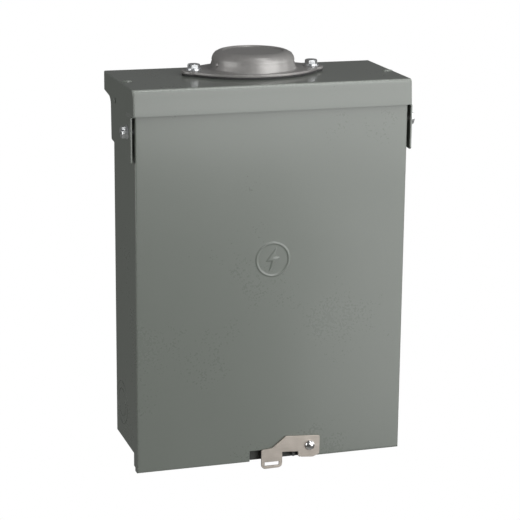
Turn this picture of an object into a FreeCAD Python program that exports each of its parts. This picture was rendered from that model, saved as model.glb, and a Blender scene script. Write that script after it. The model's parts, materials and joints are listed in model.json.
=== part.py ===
import FreeCAD, Part
import Sketcher
import os
import re

# Outdoor residential load center: a sheet-steel box under a rain hood, with a lift-up front cover,
# a hub closing cap on top, and a plug-on breaker interior behind a dead front.
# Frame: origin at the centre of the wall face, X to the right, -Y out of the wall, Z up. Sizes in mm.

SIZES = [
    # hood
    ("hoodWidth", 226.0, "hood, side to side"),
    ("hoodDepth", 98.0, "hood, wall to front face"),
    ("hoodMetal", 1.4, "hood sheet"),
    ("hoodLip", 20.3, "height of the hood's front flange"),
    ("hoodBend", 2.5, "outer radius of the hood's bends"),
    ("skirtDrop", 15.0, "height of the hood's side at the wall"),
    ("earSetback", 2.4, "ear's front edge behind the hood's face"),
    ("earDepth", 71.4, "ear, front edge to rear edge"),
    ("earHeel", 51.0, "drop of the ear's rear corner below the hood's top"),
    ("earToe", 57.1, "drop of the ear's front corner below the hood's top"),
    ("earJoggle", 1.6, "ear set out round the cover's pivot"),
    ("joggleDepth", 20.0, "set-out part of the ear, front to back"),
    ("joggleDrop", 1.0, "set-out part below the hood's front flange"),
    ("earSweep", 6.0, "radius where the skirt runs into the ear"),
    # box
    ("boxHeight", 296.6, "box, from the hood's underside to its bottom"),
    ("boxMetal", 1.2, "box sheet"),
    ("boxBend", 3.0, "outer radius of the box's bends"),
    ("boxSetback", 16.0, "from the wall to the rim of the box's back"),
    ("topMargin", 33.1, "from the box's top to the wall platform"),
    ("bottomMargin", 23.5, "from the box's bottom to the wall platform"),
    ("sideMargin", 14.3, "from the box's side to the wall platform"),
    ("draftAngle", 15.0, "slope of the platform's drawn sides, degrees"),
    ("wallHoleInset", 20.0, "wall screw hole, in from the platform's edges"),
    ("wallHoleRadius", 3.5, "wall screw hole"),
    ("returnFlange", 10.0, "returns on the box's open edges"),
    ("scoreDepth", 0.5, "depth of the knockouts' scored rings"),
    ("scoreWidth", 0.7, "width of the knockouts' scored rings"),
    ("knockoutSmall", 11.2, "radius of the inner knockout"),
    ("knockoutLarge", 17.4, "radius of the outer knockout"),
    # cover
    ("coverMetal", 1.2, "cover sheet"),
    ("coverBack", 2.9, "cover's face behind the hood's face"),
    ("coverFlange", 11.1, "depth of the cover's flanges"),
    ("coverHang", 11.0, "cover hangs this much below the box"),
    ("coverTopGap", 11.5, "cover's top edge below the hood's top"),
    ("earGap", 0.4, "ear to cover, and cover to box side"),
    ("coverGap", 0.5, "cover's inside to the box's front edges"),
    ("pivotBack", 13.0, "cover pivot behind the hood's face"),
    ("pivotDrop", 33.9, "cover pivot below the hood's top"),
    ("pivotHead", 5.0, "height of the pivot screw's head"),
    ("tabReach", 6.5, "cover's hinge tab beyond the pivot"),
    ("tabHalf", 16.0, "cover's hinge tab, halved"),
    ("pivotRadius", 2.4, "shoulder of the pivot screw"),
    ("runningFit", 0.06, "radial clearance of a turning fit"),
    ("emblemRadius", 14.0, "embossed ring on the cover"),
    ("emblemRise", 0.6, "height of the embossing"),
    ("emblemDrop", 140.0, "embossed ring below the hood's top"),
    # latch
    ("latchMetal", 1.5, "latch plate"),
    ("latchGap", 0.3, "latch plate in front of the cover"),
    ("latchX", 33.0, "latch pivot, right of the middle"),
    ("latchRise", 10.5, "latch pivot above the cover's bottom edge"),
    ("latchReach", 41.2, "latch pivot to the loop's far edge"),
    ("loopWidth", 17.8, "padlock loop"),
    ("loopDrop", 17.2, "bottom of the loop below the latch pivot"),
    ("latchRadius", 2.5, "latch rivet shank"),
    ("tailRise", 3.0, "latch washer's rim round the rivet"),
    ("keeperMetal", 2.0, "keeper plate"),
    # hub
    ("hubBack", 60.0, "hub centre behind the hood's face"),
    ("hubRadius", 33.3, "dome of the hub closing cap"),
    ("hubRise", 18.3, "top of the dome above the hood"),
    ("hubShoulder", 8.5, "rounding of the dome"),
    ("hubWall", 1.8, "wall of the closing cap"),
    ("hubFlange", 2.3, "flange of the closing cap"),
    ("gasketThick", 1.5, "hub gasket"),
    ("hubHalfWidth", 35.5, "hub flange, front to back, halved"),
    ("hubArc", 63.6, "radius of the flange's long edges"),
    ("hubEnd", 9.8, "radius of the flange's rounded ends"),
    ("hubSpacing", 98.0, "between the hub screws"),
    ("hubOpening", 30.0, "radius of the hood's conductor opening"),
    # interior
    ("panRise", 9.6, "interior pan off the box's back"),
    ("panMetal", 1.2, "interior pan sheet"),
    ("panHalfWidth", 80.0, "interior pan, halved"),
    ("footHalfWidth", 62.0, "pan's feet, halved"),
    ("panTop", 86.0, "pan's top edge"),
    ("panBottom", 78.0, "pan's bottom edge, below the middle"),
    ("footDepth", 10.0, "pan's feet"),
    ("baseThick", 10.0, "moulded bus support"),
    ("busThick", 2.5, "bus bar"),
    ("busWidth", 12.0, "bus bar"),
    ("busOffset", 16.0, "bus bar centre from the middle"),
    ("stabHalf", 12.0, "breaker stab, halved"),
    ("stabThick", 2.0, "breaker stab"),
    ("stabRise", 13.5, "stab above the bus bar"),
    ("fieldZ", 8.0, "middle of the breaker rows"),
    ("breakerPitch", 25.4, "between breaker rows"),
    ("breakerWidth", 25.0, "breaker"),
    ("breakerLength", 76.0, "breaker"),
    ("breakerGap", 1.0, "breaker's inner end from the middle"),
    ("breakerStand", 8.0, "breaker's back off the bus support"),
    ("caseDepth", 46.0, "breaker case, back to shoulder"),
    ("noseRise", 6.0, "breaker's nose above its shoulder"),
    ("noseHalf", 13.0, "breaker's nose, halved"),
    ("noseCentre", 38.0, "breaker's nose from its inner end"),
    ("handleBack", 12.0, "handle pivot behind the nose's face"),
    ("rotorRadius", 8.0, "round root of the handle"),
    ("handleWidth", 9.0, "handle"),
    ("handleThick", 7.0, "handle"),
    ("handleReach", 20.0, "handle's tip from its pivot"),
    ("handleTilt", 22.0, "handle's lean when on, degrees"),
    ("handleClear", 0.5, "round the handle in its case"),
    ("pinRadius", 1.5, "handle pivot pin"),
    ("railHook", 4.0, "rail's hook into the breaker"),
    ("railMetal", 1.6, "breaker rail"),
    ("barThick", 10.0, "neutral and ground bars, out from the wall"),
    ("barHeight", 11.0, "neutral and ground bars"),
    ("neutralHalf", 60.0, "neutral bar, halved"),
    ("neutralZ", 58.0, "neutral bar below the middle"),
    ("groundHalf", 44.0, "ground bar, halved"),
    ("groundRise", 16.0, "ground bar above the platform's bottom edge"),
    ("terminalPitch", 13.0, "between bar terminals"),
    ("wireRadius", 2.8, "wire hole of a bar terminal"),
    ("screwRadius", 1.9, "shank of the small screws"),
    ("screwHead", 3.8, "head radius of the small screws"),
    ("headRise", 2.4, "head height of the small screws"),
    ("hexRadius", 5.1, "hub screw's head, to its corners"),
    ("hexRise", 4.2, "head height of the hub and pivot screws"),
    ("fastenerFit", 0.15, "radial clearance round a screw"),
    ("lugWidth", 20.0, "line lug"),
    ("lugHeight", 24.0, "line lug, along the wire"),
    ("lugThick", 18.0, "line lug, out from the wall"),
    ("lugBore", 5.6, "wire hole of a line lug"),
    ("lugTop", 85.0, "top of the line lugs"),
    # dead front
    ("deadMetal", 1.2, "dead front sheet"),
    ("deadGap", 0.8, "dead front in front of the breakers' shoulders"),
    ("deadSide", 1.6, "dead front to the box's sides"),
    ("deadFlange", 10.0, "dead front's top and bottom flanges"),
    ("deadRise", 15.5, "dead front above the box's bottom"),
    ("sweepClear", 3.5, "cover's swung top edge to the box's sides"),
    ("swingDrop", 9.0, "swing room below the cover's pivot"),
    ("windowGap", 1.2, "dead front's windows round the breakers"),
    ("bracketReach", 16.0, "dead front bracket, in from the box's side"),
    ("bracketHalf", 58.0, "dead front bracket, halved"),
    ("bracketScrew", 44.0, "dead front screws above and below the middle"),
]

doc = FreeCAD.newDocument("LoadCenter")
sheet = doc.addObject("Spreadsheet::Sheet", "Sizes")
for row, (alias, value, note) in enumerate(SIZES, start=1):
    sheet.set(f"A{row}", note)
    sheet.set(f"B{row}", str(value))
    sheet.setAlias(f"B{row}", alias)
doc.recompute()

NODES = []

# Places worked out from the sizes, as expression text
hoodFront = "(-hoodDepth)"
coverFace = "(coverBack - hoodDepth)"
coverInside = f"({coverFace} + coverMetal)"
coverHalf = "(hoodWidth / 2 - hoodMetal - earGap)"
boxHalf = f"({coverHalf} - coverMetal - earGap)"
boxInner = f"({boxHalf} - boxMetal)"
boxFront = f"({coverInside} + coverGap)"
boxBack = "(-boxSetback)"
platformHalf = "((boxHeight - topMargin - bottomMargin) / 2)"
platformSide = f"({boxHalf} - sideMargin)"
boxTop = f"({platformHalf} + topMargin)"
boxBottom = f"(-{platformHalf} - bottomMargin)"
hoodTop = f"({boxTop} + hoodMetal)"
coverTop = f"({hoodTop} - coverTopGap)"
coverBottom = f"({boxBottom} - coverHang)"
pivotY = "(pivotBack - hoodDepth)"
pivotZ = f"({hoodTop} - pivotDrop)"
# radius that the cover's top corner sweeps about its pivot
coverSweep = "sqrt((pivotDrop - coverTopGap) ^ 2 + (pivotBack - coverBack) ^ 2)"
latchZ = f"({coverBottom} + latchRise)"
latchBackY = f"({coverFace} - latchGap)"
latchFaceY = f"({latchBackY} - latchMetal)"
hubY = "(hubBack - hoodDepth)"
capSeat = f"({hoodTop} + gasketThick)"
capTop = f"({hoodTop} + hubRise)"
panFace = "(-boxMetal - panRise - panMetal)"
baseFace = f"({panFace} - baseThick)"
busFace = f"({baseFace} - busThick)"
breakerBack = f"({baseFace} - breakerStand)"
shoulderY = f"({breakerBack} - caseDepth)"
noseY = f"({shoulderY} - noseRise)"
handleY = f"({noseY} + handleBack)"
deadBack = f"({shoulderY} - deadGap)"
deadFace = f"({deadBack} - deadMetal)"
deadHalf = f"({boxInner} - deadSide)"
swingBottom = f"({pivotZ} - swingDrop)"
deadTop = f"({swingBottom} - deadSide)"
deadBottom = f"({boxBottom} + deadRise)"
noseX = "(breakerGap + noseCentre)"
railX = "(breakerGap + breakerLength - railHook)"
groundZ = f"(-{platformHalf} + groundRise)"
screwHole = "(screwRadius + fastenerFit)"


def inCells(text):
    """Expression text with each alias turned into its cell of the sheet."""
    aliases = {alias for alias, value, note in SIZES}
    return re.sub(r"[A-Za-z]\w*", lambda m: "Sizes." + m[0] if m[0] in aliases else m[0], str(text))


def valueOf(text):
    """Number that an expression text comes to with the sheet's present values."""
    return float(sheet.evalExpression(inCells(text)))


def bind(thing, prop, text):
    thing.setExpression(prop, inCells(text))


# ---- Part primitives -------------------------------------------------------------------------

def block(name, x, y, z):
    """Rectangular block; x, y and z are (low, high) pairs."""
    box = doc.addObject("Part::Box", name)
    for prop, axis, (low, high) in (("Length", "x", x), ("Width", "y", y), ("Height", "z", z)):
        bind(box, prop, f"({high}) - ({low})")
        bind(box, f"Placement.Base.{axis}", low)
    return box


TURNS = {
    "x": FreeCAD.Rotation(FreeCAD.Vector(0, 1, 0), 90),
    "y": FreeCAD.Rotation(FreeCAD.Vector(1, 0, 0), -90),
    "z": FreeCAD.Rotation(),
}


def stand(thing, along, centre, low):
    """Stand a round or six-sided bar along an axis, its low end at low."""
    thing.Placement = FreeCAD.Placement(FreeCAD.Vector(), TURNS[along])
    others = [axis for axis in "xyz" if axis != along]
    for axis, text in list(zip(others, centre)) + [(along, low)]:
        bind(thing, f"Placement.Base.{axis}", text)
    return thing


def rod(name, radius, along, centre, span):
    """Round bar along an axis; centre gives the two other coordinates."""
    bar = doc.addObject("Part::Cylinder", name)
    bind(bar, "Radius", radius)
    bind(bar, "Height", f"({span[1]}) - ({span[0]})")
    return stand(bar, along, centre, span[0])


def hexBar(name, radius, along, centre, span):
    """Six-sided bar; radius is to its corners."""
    bar = doc.addObject("Part::Prism", name)
    bar.Polygon = 6
    bind(bar, "Circumradius", radius)
    bind(bar, "Height", f"({span[1]}) - ({span[0]})")
    return stand(bar, along, centre, span[0])


def fuse(name, *pieces):
    joined = doc.addObject("Part::MultiFuse", name)
    joined.Shapes = list(pieces)
    return joined


def cut(name, base, *tools):
    result = doc.addObject("Part::Cut", name)
    result.Base = base
    result.Tool = tools[0] if len(tools) == 1 else fuse(name + "Tools", *tools)
    return result


def common(name, *pieces):
    result = doc.addObject("Part::MultiCommon", name)
    result.Shapes = list(pieces)
    return result


def group(name, pieces):
    """Separate solids kept as one node."""
    gathered = doc.addObject("Part::Compound", name)
    gathered.Links = list(pieces)
    return gathered


def node(thing, label):
    """Keep an object as a sub-part under its own label."""
    thing.Label = label
    NODES.append(thing)
    return thing


def outward(face, side, rise):
    """(low, high) from a face out to rise beyond it, on the side given by its sign."""
    ends = (face, f"({face}) + ({rise})") if side > 0 else (f"({face}) - ({rise})", face)
    return ends


def screw(name, along, side, centre, face, length, shank="screwRadius", head="screwHead",
          rise="headRise", sides=None):
    """Slotted screw whose head stands on a face, on the side given by its sign."""
    headBar = hexBar if sides else rod
    headPiece = headBar(name + "Head", head, along, centre, outward(face, side, rise))
    shankPiece = rod(name + "Shank", shank, along, centre, outward(face, -side, length))
    crown = f"({face}) + ({side}) * ({rise})"
    depth = outward(crown, -side, f"({rise}) * 0.45")
    wide = [(f"({text}) - ({head}) * 1.2", f"({text}) + ({head}) * 1.2") for text in centre]
    thin = [(f"({text}) - ({head}) * 0.14", f"({text}) + ({head}) * 0.14") for text in centre]
    spans = {"x": (depth, wide[0], thin[1]), "y": (wide[0], depth, thin[1]), "z": (wide[0], thin[1], depth)}
    slot = block(name + "Slot", *spans[along])
    return cut(name, fuse(name + "Blank", headPiece, shankPiece), slot)


def ring(name, outer, inner, along, centre, span):
    """Flat washer or bush."""
    disc = rod(name + "Disc", outer, along, centre, span)
    hole = rod(name + "Hole", inner, along, centre, (f"({span[0]}) - 1", f"({span[1]}) + 1"))
    return cut(name, disc, hole)


# ---- PartDesign bodies -----------------------------------------------------------------------

# sketch plane role, sign from the plane's offset to the row's coordinate
PLANES = {"z": ("XY_Plane", 1), "y": ("XZ_Plane", -1), "x": ("YZ_Plane", 1)}


def sketchOn(body, name, along, at):
    """Sketch square to an axis, at a coordinate on it."""
    role, sign = PLANES[along]
    sketch = body.newObject("Sketcher::SketchObject", name)
    plane = next(item for item in body.Origin.OriginFeatures if item.Role == role)
    sketch.AttachmentSupport = (plane, [""])
    sketch.MapMode = "FlatFace"
    bind(sketch, "AttachmentOffset.Base.z", f"({at}) * ({sign})")
    return sketch


def pinPoint(sketch, geometry, point, across, up):
    """Hold a point of a sketch at two sheet-driven coordinates."""
    for kind, text in (("DistanceX", across), ("DistanceY", up)):
        index = sketch.addConstraint(Sketcher.Constraint(kind, -1, 1, geometry, point, valueOf(text)))
        bind(sketch, f"Constraints[{index}]", text)


def outline(sketch, corners):
    """Closed outline of straight edges through corners, each an (across, up) pair."""
    places = [FreeCAD.Vector(valueOf(across), valueOf(up), 0) for across, up in corners]
    count = len(places)
    lines = [Part.LineSegment(places[i], places[(i + 1) % count]) for i in range(count)]
    first = sketch.addGeometry(lines, False)[0]
    for i in range(count):
        sketch.addConstraint(Sketcher.Constraint("Coincident", first + i, 2, first + (i + 1) % count, 1))
        pinPoint(sketch, first + i, 1, *corners[i])


def rectangle(sketch, across, up):
    """Rectangle between (low, high) pairs."""
    outline(sketch, [(across[0], up[0]), (across[1], up[0]), (across[1], up[1]), (across[0], up[1])])


def circle(sketch, across, up, radius):
    centre = FreeCAD.Vector(valueOf(across), valueOf(up), 0)
    shape = Part.Circle(centre, FreeCAD.Vector(0, 0, 1), valueOf(radius))
    index = sketch.addGeometry(shape, False)
    pinPoint(sketch, index, 3, across, up)
    held = sketch.addConstraint(Sketcher.Constraint("Radius", index, valueOf(radius)))
    bind(sketch, f"Constraints[{held}]", radius)


def pad(body, name, along, span, draw):
    """Add material between two coordinates on an axis; draw fills the sketch."""
    sketch = sketchOn(body, name + "Sketch", along, span[1] if along == "y" else span[0])
    draw(sketch)
    feature = body.newObject("PartDesign::Pad", name)
    feature.Profile = sketch
    bind(feature, "Length", f"({span[1]}) - ({span[0]})")
    doc.recompute()
    return feature


def pocket(body, name, along, span, draw):
    """Cut material between two coordinates on an axis; checks that something was cut."""
    before = body.Shape.Volume
    sketch = sketchOn(body, name + "Sketch", along, span[0] if along == "y" else span[1])
    draw(sketch)
    feature = body.newObject("PartDesign::Pocket", name)
    feature.Profile = sketch
    bind(feature, "Length", f"({span[1]}) - ({span[0]})")
    doc.recompute()
    if body.Shape.Volume > before - 1e-6:
        raise RuntimeError(name + " cut nothing")
    return feature


def fillet(body, name, radius, chosen):
    """Round the edges of the body's tip that chosen accepts."""
    tip = body.Tip
    names = [f"Edge{i}" for i, edge in enumerate(tip.Shape.Edges, start=1) if chosen(edge)]
    feature = body.newObject("PartDesign::Fillet", name)
    feature.Base = (tip, names)
    bind(feature, "Radius", radius)
    doc.recompute()
    return feature


def newBody(name):
    return doc.addObject("PartDesign::Body", name)


def alongAxis(edge, axis):
    """True for a straight edge parallel to an axis."""
    box = edge.BoundBox
    spans = {"x": box.XLength, "y": box.YLength, "z": box.ZLength}
    across = [spans[other] for other in "xyz" if other != axis]
    return isinstance(edge.Curve, Part.Line) and spans[axis] > 1e-3 and max(across) < 1e-4


def liesAt(edge, **places):
    """True when the middle of an edge lies at the given coordinates."""
    middle = edge.BoundBox.Center
    return all(abs(getattr(middle, axis) - place) < 1e-3 for axis, place in places.items())


# ---- Enclosure -------------------------------------------------------------------------------

def enclosureBox():
    """Sides, back, bottom and top returns, with a drawn platform that reaches the wall."""
    body = newBody("EnclosureBox")
    half, top, bottom = valueOf(boxHalf), valueOf(boxTop), valueOf(boxBottom)
    middle = (top + bottom) / 2
    pad(body, "BoxBlock", "z", (boxBottom, boxTop),
        lambda sketch: rectangle(sketch, (f"-{boxHalf}", boxHalf), (boxFront, boxBack)))
    fillet(body, "BoxBends", "boxBend", lambda edge: alongAxis(edge, "z")
           and any(liesAt(edge, x=side * half, y=valueOf(boxBack), z=middle) for side in (-1, 1)))
    pocket(body, "BoxHollow", "y", (boxFront, f"{boxBack} - boxMetal"),
           lambda sketch: rectangle(sketch, (f"-{boxInner}", boxInner),
                                    (f"{boxBottom} + boxMetal", boxTop)))

    def platform(shrink):
        side = f"({platformSide} - {shrink})"
        tall = f"({platformHalf} - {shrink})"
        return lambda sketch: rectangle(sketch, (f"-{side}", side), (f"-{tall}", tall))

    # the platform tapers towards the wall, so its sketches lie at the box's back
    outer = body.newObject("PartDesign::Pad", "Platform")
    outer.Profile = sketchOn(body, "PlatformSketch", "y", f"{boxBack} - boxMetal / 2")
    platform("0")(outer.Profile[0])
    bind(outer, "Length", "boxSetback + boxMetal / 2")
    bind(outer, "TaperAngle", "-draftAngle")
    outer.Reversed = True
    doc.recompute()
    inner = body.newObject("PartDesign::Pocket", "PlatformHollow")
    inner.Profile = sketchOn(body, "PlatformHollowSketch", "y", f"{boxBack} - boxMetal - 0.01")
    platform("boxMetal")(inner.Profile[0])
    bind(inner, "Length", "boxSetback + 0.01")
    bind(inner, "TaperAngle", "-draftAngle")
    doc.recompute()

    # above the ear's foot the sides stand back, which leaves room for the cover's swung top edge
    swingRear = f"{pivotY} + {coverSweep} + sweepClear"
    pocket(body, "SwingRoom", "x", (f"-{boxHalf} - 1", f"{boxHalf} + 1"), lambda sketch: rectangle(
        sketch, (f"{boxFront} - 1", swingRear), (swingBottom, f"{boxTop} + 1")))
    for side, name in ((-1, "Left"), (1, "Right")):
        span = sorted((f"{side} * {boxInner}", f"{side} * ({boxInner} - returnFlange)"), key=valueOf)
        pad(body, name + "TopReturn", "z", (f"{boxTop} - boxMetal", boxTop), lambda sketch: rectangle(
            sketch, span, (swingRear, f"{boxBack} - boxMetal")))
    pad(body, "BottomReturn", "y", (boxFront, f"{boxFront} + boxMetal"), lambda sketch: rectangle(
        sketch, (f"-{boxInner}", boxInner), (boxBottom, f"{boxBottom} + returnFlange")))
    # the latch rivet's tail lies in a notch of the bottom's front corner
    tail = "(latchRadius + tailRise + 2)"
    pocket(body, "RivetNotch", "y", (f"{boxFront} - 1", f"{boxFront} + 4"), lambda sketch: rectangle(
        sketch, (f"latchX - {tail}", f"latchX + {tail}"), (f"{boxBottom} - 1", f"{latchZ} + {tail}")))

    def wallHoles(sketch):
        for x in (-1, 1):
            for z in (-1, 1):
                circle(sketch, f"{x} * ({platformSide} - wallHoleInset)",
                       f"{z} * ({platformHalf} - wallHoleInset)", "wallHoleRadius")

    pocket(body, "WallHoles", "y", ("-boxMetal - 1", "1"), wallHoles)

    def rings(across, up):
        def draw(sketch):
            for radius in ("knockoutLarge", "knockoutSmall"):
                circle(sketch, across, up, f"{radius} + scoreWidth")
                circle(sketch, across, up, radius)
        return draw

    low = f"({boxBottom} + boxBend + knockoutLarge + 10)"
    sideY = f"({boxBack} - boxBend - knockoutLarge - 2)"
    pocket(body, "LeftKnockout", "x", (f"-{boxHalf} - 1", f"-{boxHalf} + scoreDepth"), rings(sideY, low))
    pocket(body, "RightKnockout", "x", (f"{boxHalf} - scoreDepth", f"{boxHalf} + 1"), rings(sideY, low))
    floorY = f"(({boxFront} + {boxBack}) / 2)"
    for across, name in (("-boxHeight / 5", "Left"), ("0", "Middle"), ("boxHeight / 5", "Right")):
        pocket(body, "Floor" + name + "Knockout", "z", (f"{boxBottom} - 1", f"{boxBottom} + scoreDepth"),
               rings(across, floorY))
    pocket(body, "RivetHoles", "x", (f"-{boxHalf} - 1", f"{boxHalf} + 1"),
           lambda sketch: circle(sketch, rivetY, rivetZ, screwHole))
    return node(body, "enclosure_box")


rivetY = f"({boxBack} - 21.5)"
rivetZ = f"({hoodTop} - skirtDrop - 3)"


def rainHood():
    """Top, front flange and two ears, folded from one sheet."""
    body = newBody("RainHood")
    front, top, half = valueOf(hoodFront), valueOf(hoodTop), valueOf("hoodWidth / 2")
    earFront = f"({hoodFront} + earSetback)"
    earRear = f"({earFront} + earDepth)"
    profile = [(hoodFront, hoodTop), ("0", hoodTop), ("0", f"{hoodTop} - skirtDrop"),
               (f"{earRear} + earSweep", f"{hoodTop} - skirtDrop - 2"),
               (f"{earRear} + 2", f"{hoodTop} - skirtDrop - earSweep"),
               (earRear, f"{hoodTop} - earHeel"), (earFront, f"{hoodTop} - earToe"),
               (earFront, f"{hoodTop} - hoodLip"), (hoodFront, f"{hoodTop} - hoodLip")]
    pad(body, "HoodBlock", "x", ("-hoodWidth / 2", "hoodWidth / 2"),
        lambda sketch: outline(sketch, profile))
    fillet(body, "HoodBends", "hoodBend", lambda edge: (
        alongAxis(edge, "x") and liesAt(edge, x=0, y=front, z=top)) or (
        alongAxis(edge, "y") and abs(abs(edge.BoundBox.Center.x) - half) < 1e-3
        and abs(edge.BoundBox.Center.z - top) < 1e-3) or (
        alongAxis(edge, "z") and abs(abs(edge.BoundBox.Center.x) - half) < 1e-3
        and abs(edge.BoundBox.Center.y - front) < 1e-3))
    inside = "(hoodWidth / 2 - hoodMetal)"
    pocket(body, "HoodHollow", "z", (f"{hoodTop} - earToe - 1", boxTop), lambda sketch: rectangle(
        sketch, (f"-{inside}", inside), (f"{hoodFront} + hoodMetal", "1")))
    joggleRear = f"({earFront} + joggleDepth)"
    joggleTop = f"({hoodTop} - hoodLip - joggleDrop)"
    setOut = [(earFront, joggleTop), (f"{joggleRear} - 4", joggleTop), (joggleRear, f"{joggleTop} - 4"),
              (joggleRear, f"{hoodTop} - earToe + (earToe - earHeel) * joggleDepth / earDepth"),
              (earFront, f"{hoodTop} - earToe")]
    hollowTop, hollowRear = f"{joggleTop} - hoodMetal", f"{joggleRear} - hoodMetal"
    hollow = [(f"{earFront} - 1", hollowTop), (f"{joggleRear} - 5", hollowTop),
              (hollowRear, f"{joggleTop} - 5"), (hollowRear, f"{hoodTop} - earToe - 1"),
              (f"{earFront} - 1", f"{hoodTop} - earToe - 1")]
    for side, name in ((-1, "Left"), (1, "Right")):
        face = f"{side} * hoodWidth / 2"
        rise = sorted((f"{face} - {side} * hoodMetal", f"{face} + {side} * earJoggle"), key=valueOf)
        pad(body, name + "Joggle", "x", rise, lambda sketch: outline(sketch, setOut))
        room = sorted((f"{face} - {side} * (hoodMetal + 1)", f"{face} + {side} * (earJoggle - hoodMetal)"),
                      key=valueOf)
        pocket(body, name + "JoggleHollow", "x", room, lambda sketch: outline(sketch, hollow))
    pocket(body, "PivotHoles", "x", ("-hoodWidth / 2 - earJoggle - 1", "hoodWidth / 2 + earJoggle + 1"),
           lambda sketch: circle(sketch, pivotY, pivotZ, "pivotRadius + runningFit"))
    pocket(body, "SideRivetHoles", "x", ("-hoodWidth / 2 - 1", "hoodWidth / 2 + 1"),
           lambda sketch: circle(sketch, rivetY, rivetZ, screwHole))

    def topHoles(sketch):
        circle(sketch, "0", hubY, "hubOpening")
        for side in (-1, 1):
            circle(sketch, f"{side} * hubSpacing / 2", hubY, "screwRadius + 0.6 + fastenerFit")

    pocket(body, "HubOpening", "z", (f"{boxTop} - 1", f"{hoodTop} + 1"), topHoles)
    return node(body, "rain_hood")


def hoodRivets():
    """Rivets through the hood's sides into the box's sides."""
    rivets = []
    for side in (-1, 1):
        tag = f"HoodRivet{side + 1}"
        face = f"{side} * hoodWidth / 2"
        rivets.append(fuse(
            tag,
            rod(tag + "Head", "screwHead", "x", (rivetY, rivetZ), outward(face, side, "1.1")),
            rod(tag + "Shank", "screwRadius", "x", (rivetY, rivetZ),
                outward(face, -side, f"hoodWidth / 2 - {boxInner}")),
            rod(tag + "Spacer", "screwHead", "x", (rivetY, rivetZ),
                outward(f"{side} * (hoodWidth / 2 - hoodMetal)", -side,
                        f"hoodWidth / 2 - hoodMetal - {boxHalf}")),
            rod(tag + "Tail", "screwHead", "x", (rivetY, rivetZ),
                outward(f"{side} * {boxInner}", -side, "1.4"))))
    return node(group("HoodRivets", rivets), "hood_rivets")


def lens(name, shrink, span):
    """Hub flange outline: two long arcs and a rounded end about each screw, between two heights."""
    arcs = [rod(f"{name}Arc{side + 1}", f"hubArc - {shrink}", "z",
                ("0", f"{hubY} + {side} * (hubArc - hubHalfWidth)"), span) for side in (-1, 1)]
    ends = [rod(f"{name}End{side + 1}", f"hubEnd - {shrink}", "z",
                (f"{side} * hubSpacing / 2", hubY), span) for side in (-1, 1)]
    return fuse(name, common(name + "Middle", *arcs), *ends)


def hubCap():
    """Closing cap over the conductor opening, with its gasket and two hex screws."""
    gasket = cut("HubGasket", lens("GasketDisc", "0.6", (hoodTop, capSeat)),
                 rod("GasketBore", "hubOpening", "z", ("0", hubY), (f"{hoodTop} - 1", f"{capSeat} + 1")),
                 *[rod(f"GasketHole{side + 1}", "screwRadius + 0.6 + fastenerFit", "z",
                       (f"{side} * hubSpacing / 2", hubY), (f"{hoodTop} - 1", f"{capSeat} + 1"))
                   for side in (-1, 1)])
    node(gasket, "hub_gasket")

    body = newBody("HubDome")
    pad(body, "Dome", "z", (capSeat, capTop), lambda sketch: circle(sketch, "0", hubY, "hubRadius"))
    fillet(body, "DomeShoulder", "hubShoulder",
           lambda edge: abs(edge.BoundBox.ZMin - valueOf(capTop)) < 1e-3 and edge.BoundBox.ZLength < 1e-3)
    hollow = newBody("HubHollow")
    pad(hollow, "Hollow", "z", (f"{capSeat} - 1", f"{capTop} - hubWall"),
        lambda sketch: circle(sketch, "0", hubY, "hubRadius - hubWall"))
    fillet(hollow, "HollowShoulder", "hubShoulder - hubWall",
           lambda edge: abs(edge.BoundBox.ZMin - valueOf(f"{capTop} - hubWall")) < 1e-3
           and edge.BoundBox.ZLength < 1e-3)
    flange = lens("CapFlange", "0", (capSeat, f"{capSeat} + hubFlange"))
    holes = [rod(f"CapHole{side + 1}", "screwRadius + 0.6 + fastenerFit", "z",
                 (f"{side} * hubSpacing / 2", hubY), (f"{capSeat} - 1", f"{capSeat} + hubFlange + 1"))
             for side in (-1, 1)]
    cap = cut("HubCap", fuse("HubCapBlank", body, flange), hollow, *holes)
    node(cap, "hub_closing_cap")

    washers, screws, nuts = [], [], []
    seat = f"({capSeat} + hubFlange)"
    for side in (-1, 1):
        centre = (f"{side} * hubSpacing / 2", hubY)
        tag = f"{side + 1}"
        washers.append(ring("HubWasher" + tag, "hexRadius + 1.2", "screwRadius + 0.6 + fastenerFit", "z",
                            centre, (seat, f"{seat} + 0.9")))
        screws.append(screw("HubScrew" + tag, "z", 1, centre, f"{seat} + 0.9", "14",
                            shank="screwRadius + 0.6", head="hexRadius", rise="hexRise", sides=6))
        nuts.append(cut("HubNut" + tag,
                        hexBar("HubNutBlank" + tag, "screwHead * 1.3", "z", centre,
                               (f"{boxTop} - 4", boxTop)),
                        rod("HubNutBore" + tag, "screwRadius + 0.6 + fastenerFit / 3", "z", centre,
                            (f"{boxTop} - 5", f"{boxTop} + 1"))))
    node(group("HubWashers", washers), "hub_washers")
    node(group("HubScrews", screws), "hub_screws")
    node(group("HubNuts", nuts), "hub_nuts")


# ---- Cover and latch -------------------------------------------------------------------------

keeperX = "(latchX - latchReach + loopWidth + 8.4)"
keeperTop = f"({latchZ} - 5.4)"
cutoutLeft = "(latchX - latchReach - 9.5)"
cutoutRight = f"({keeperX} + keeperMetal + 8)"


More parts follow.
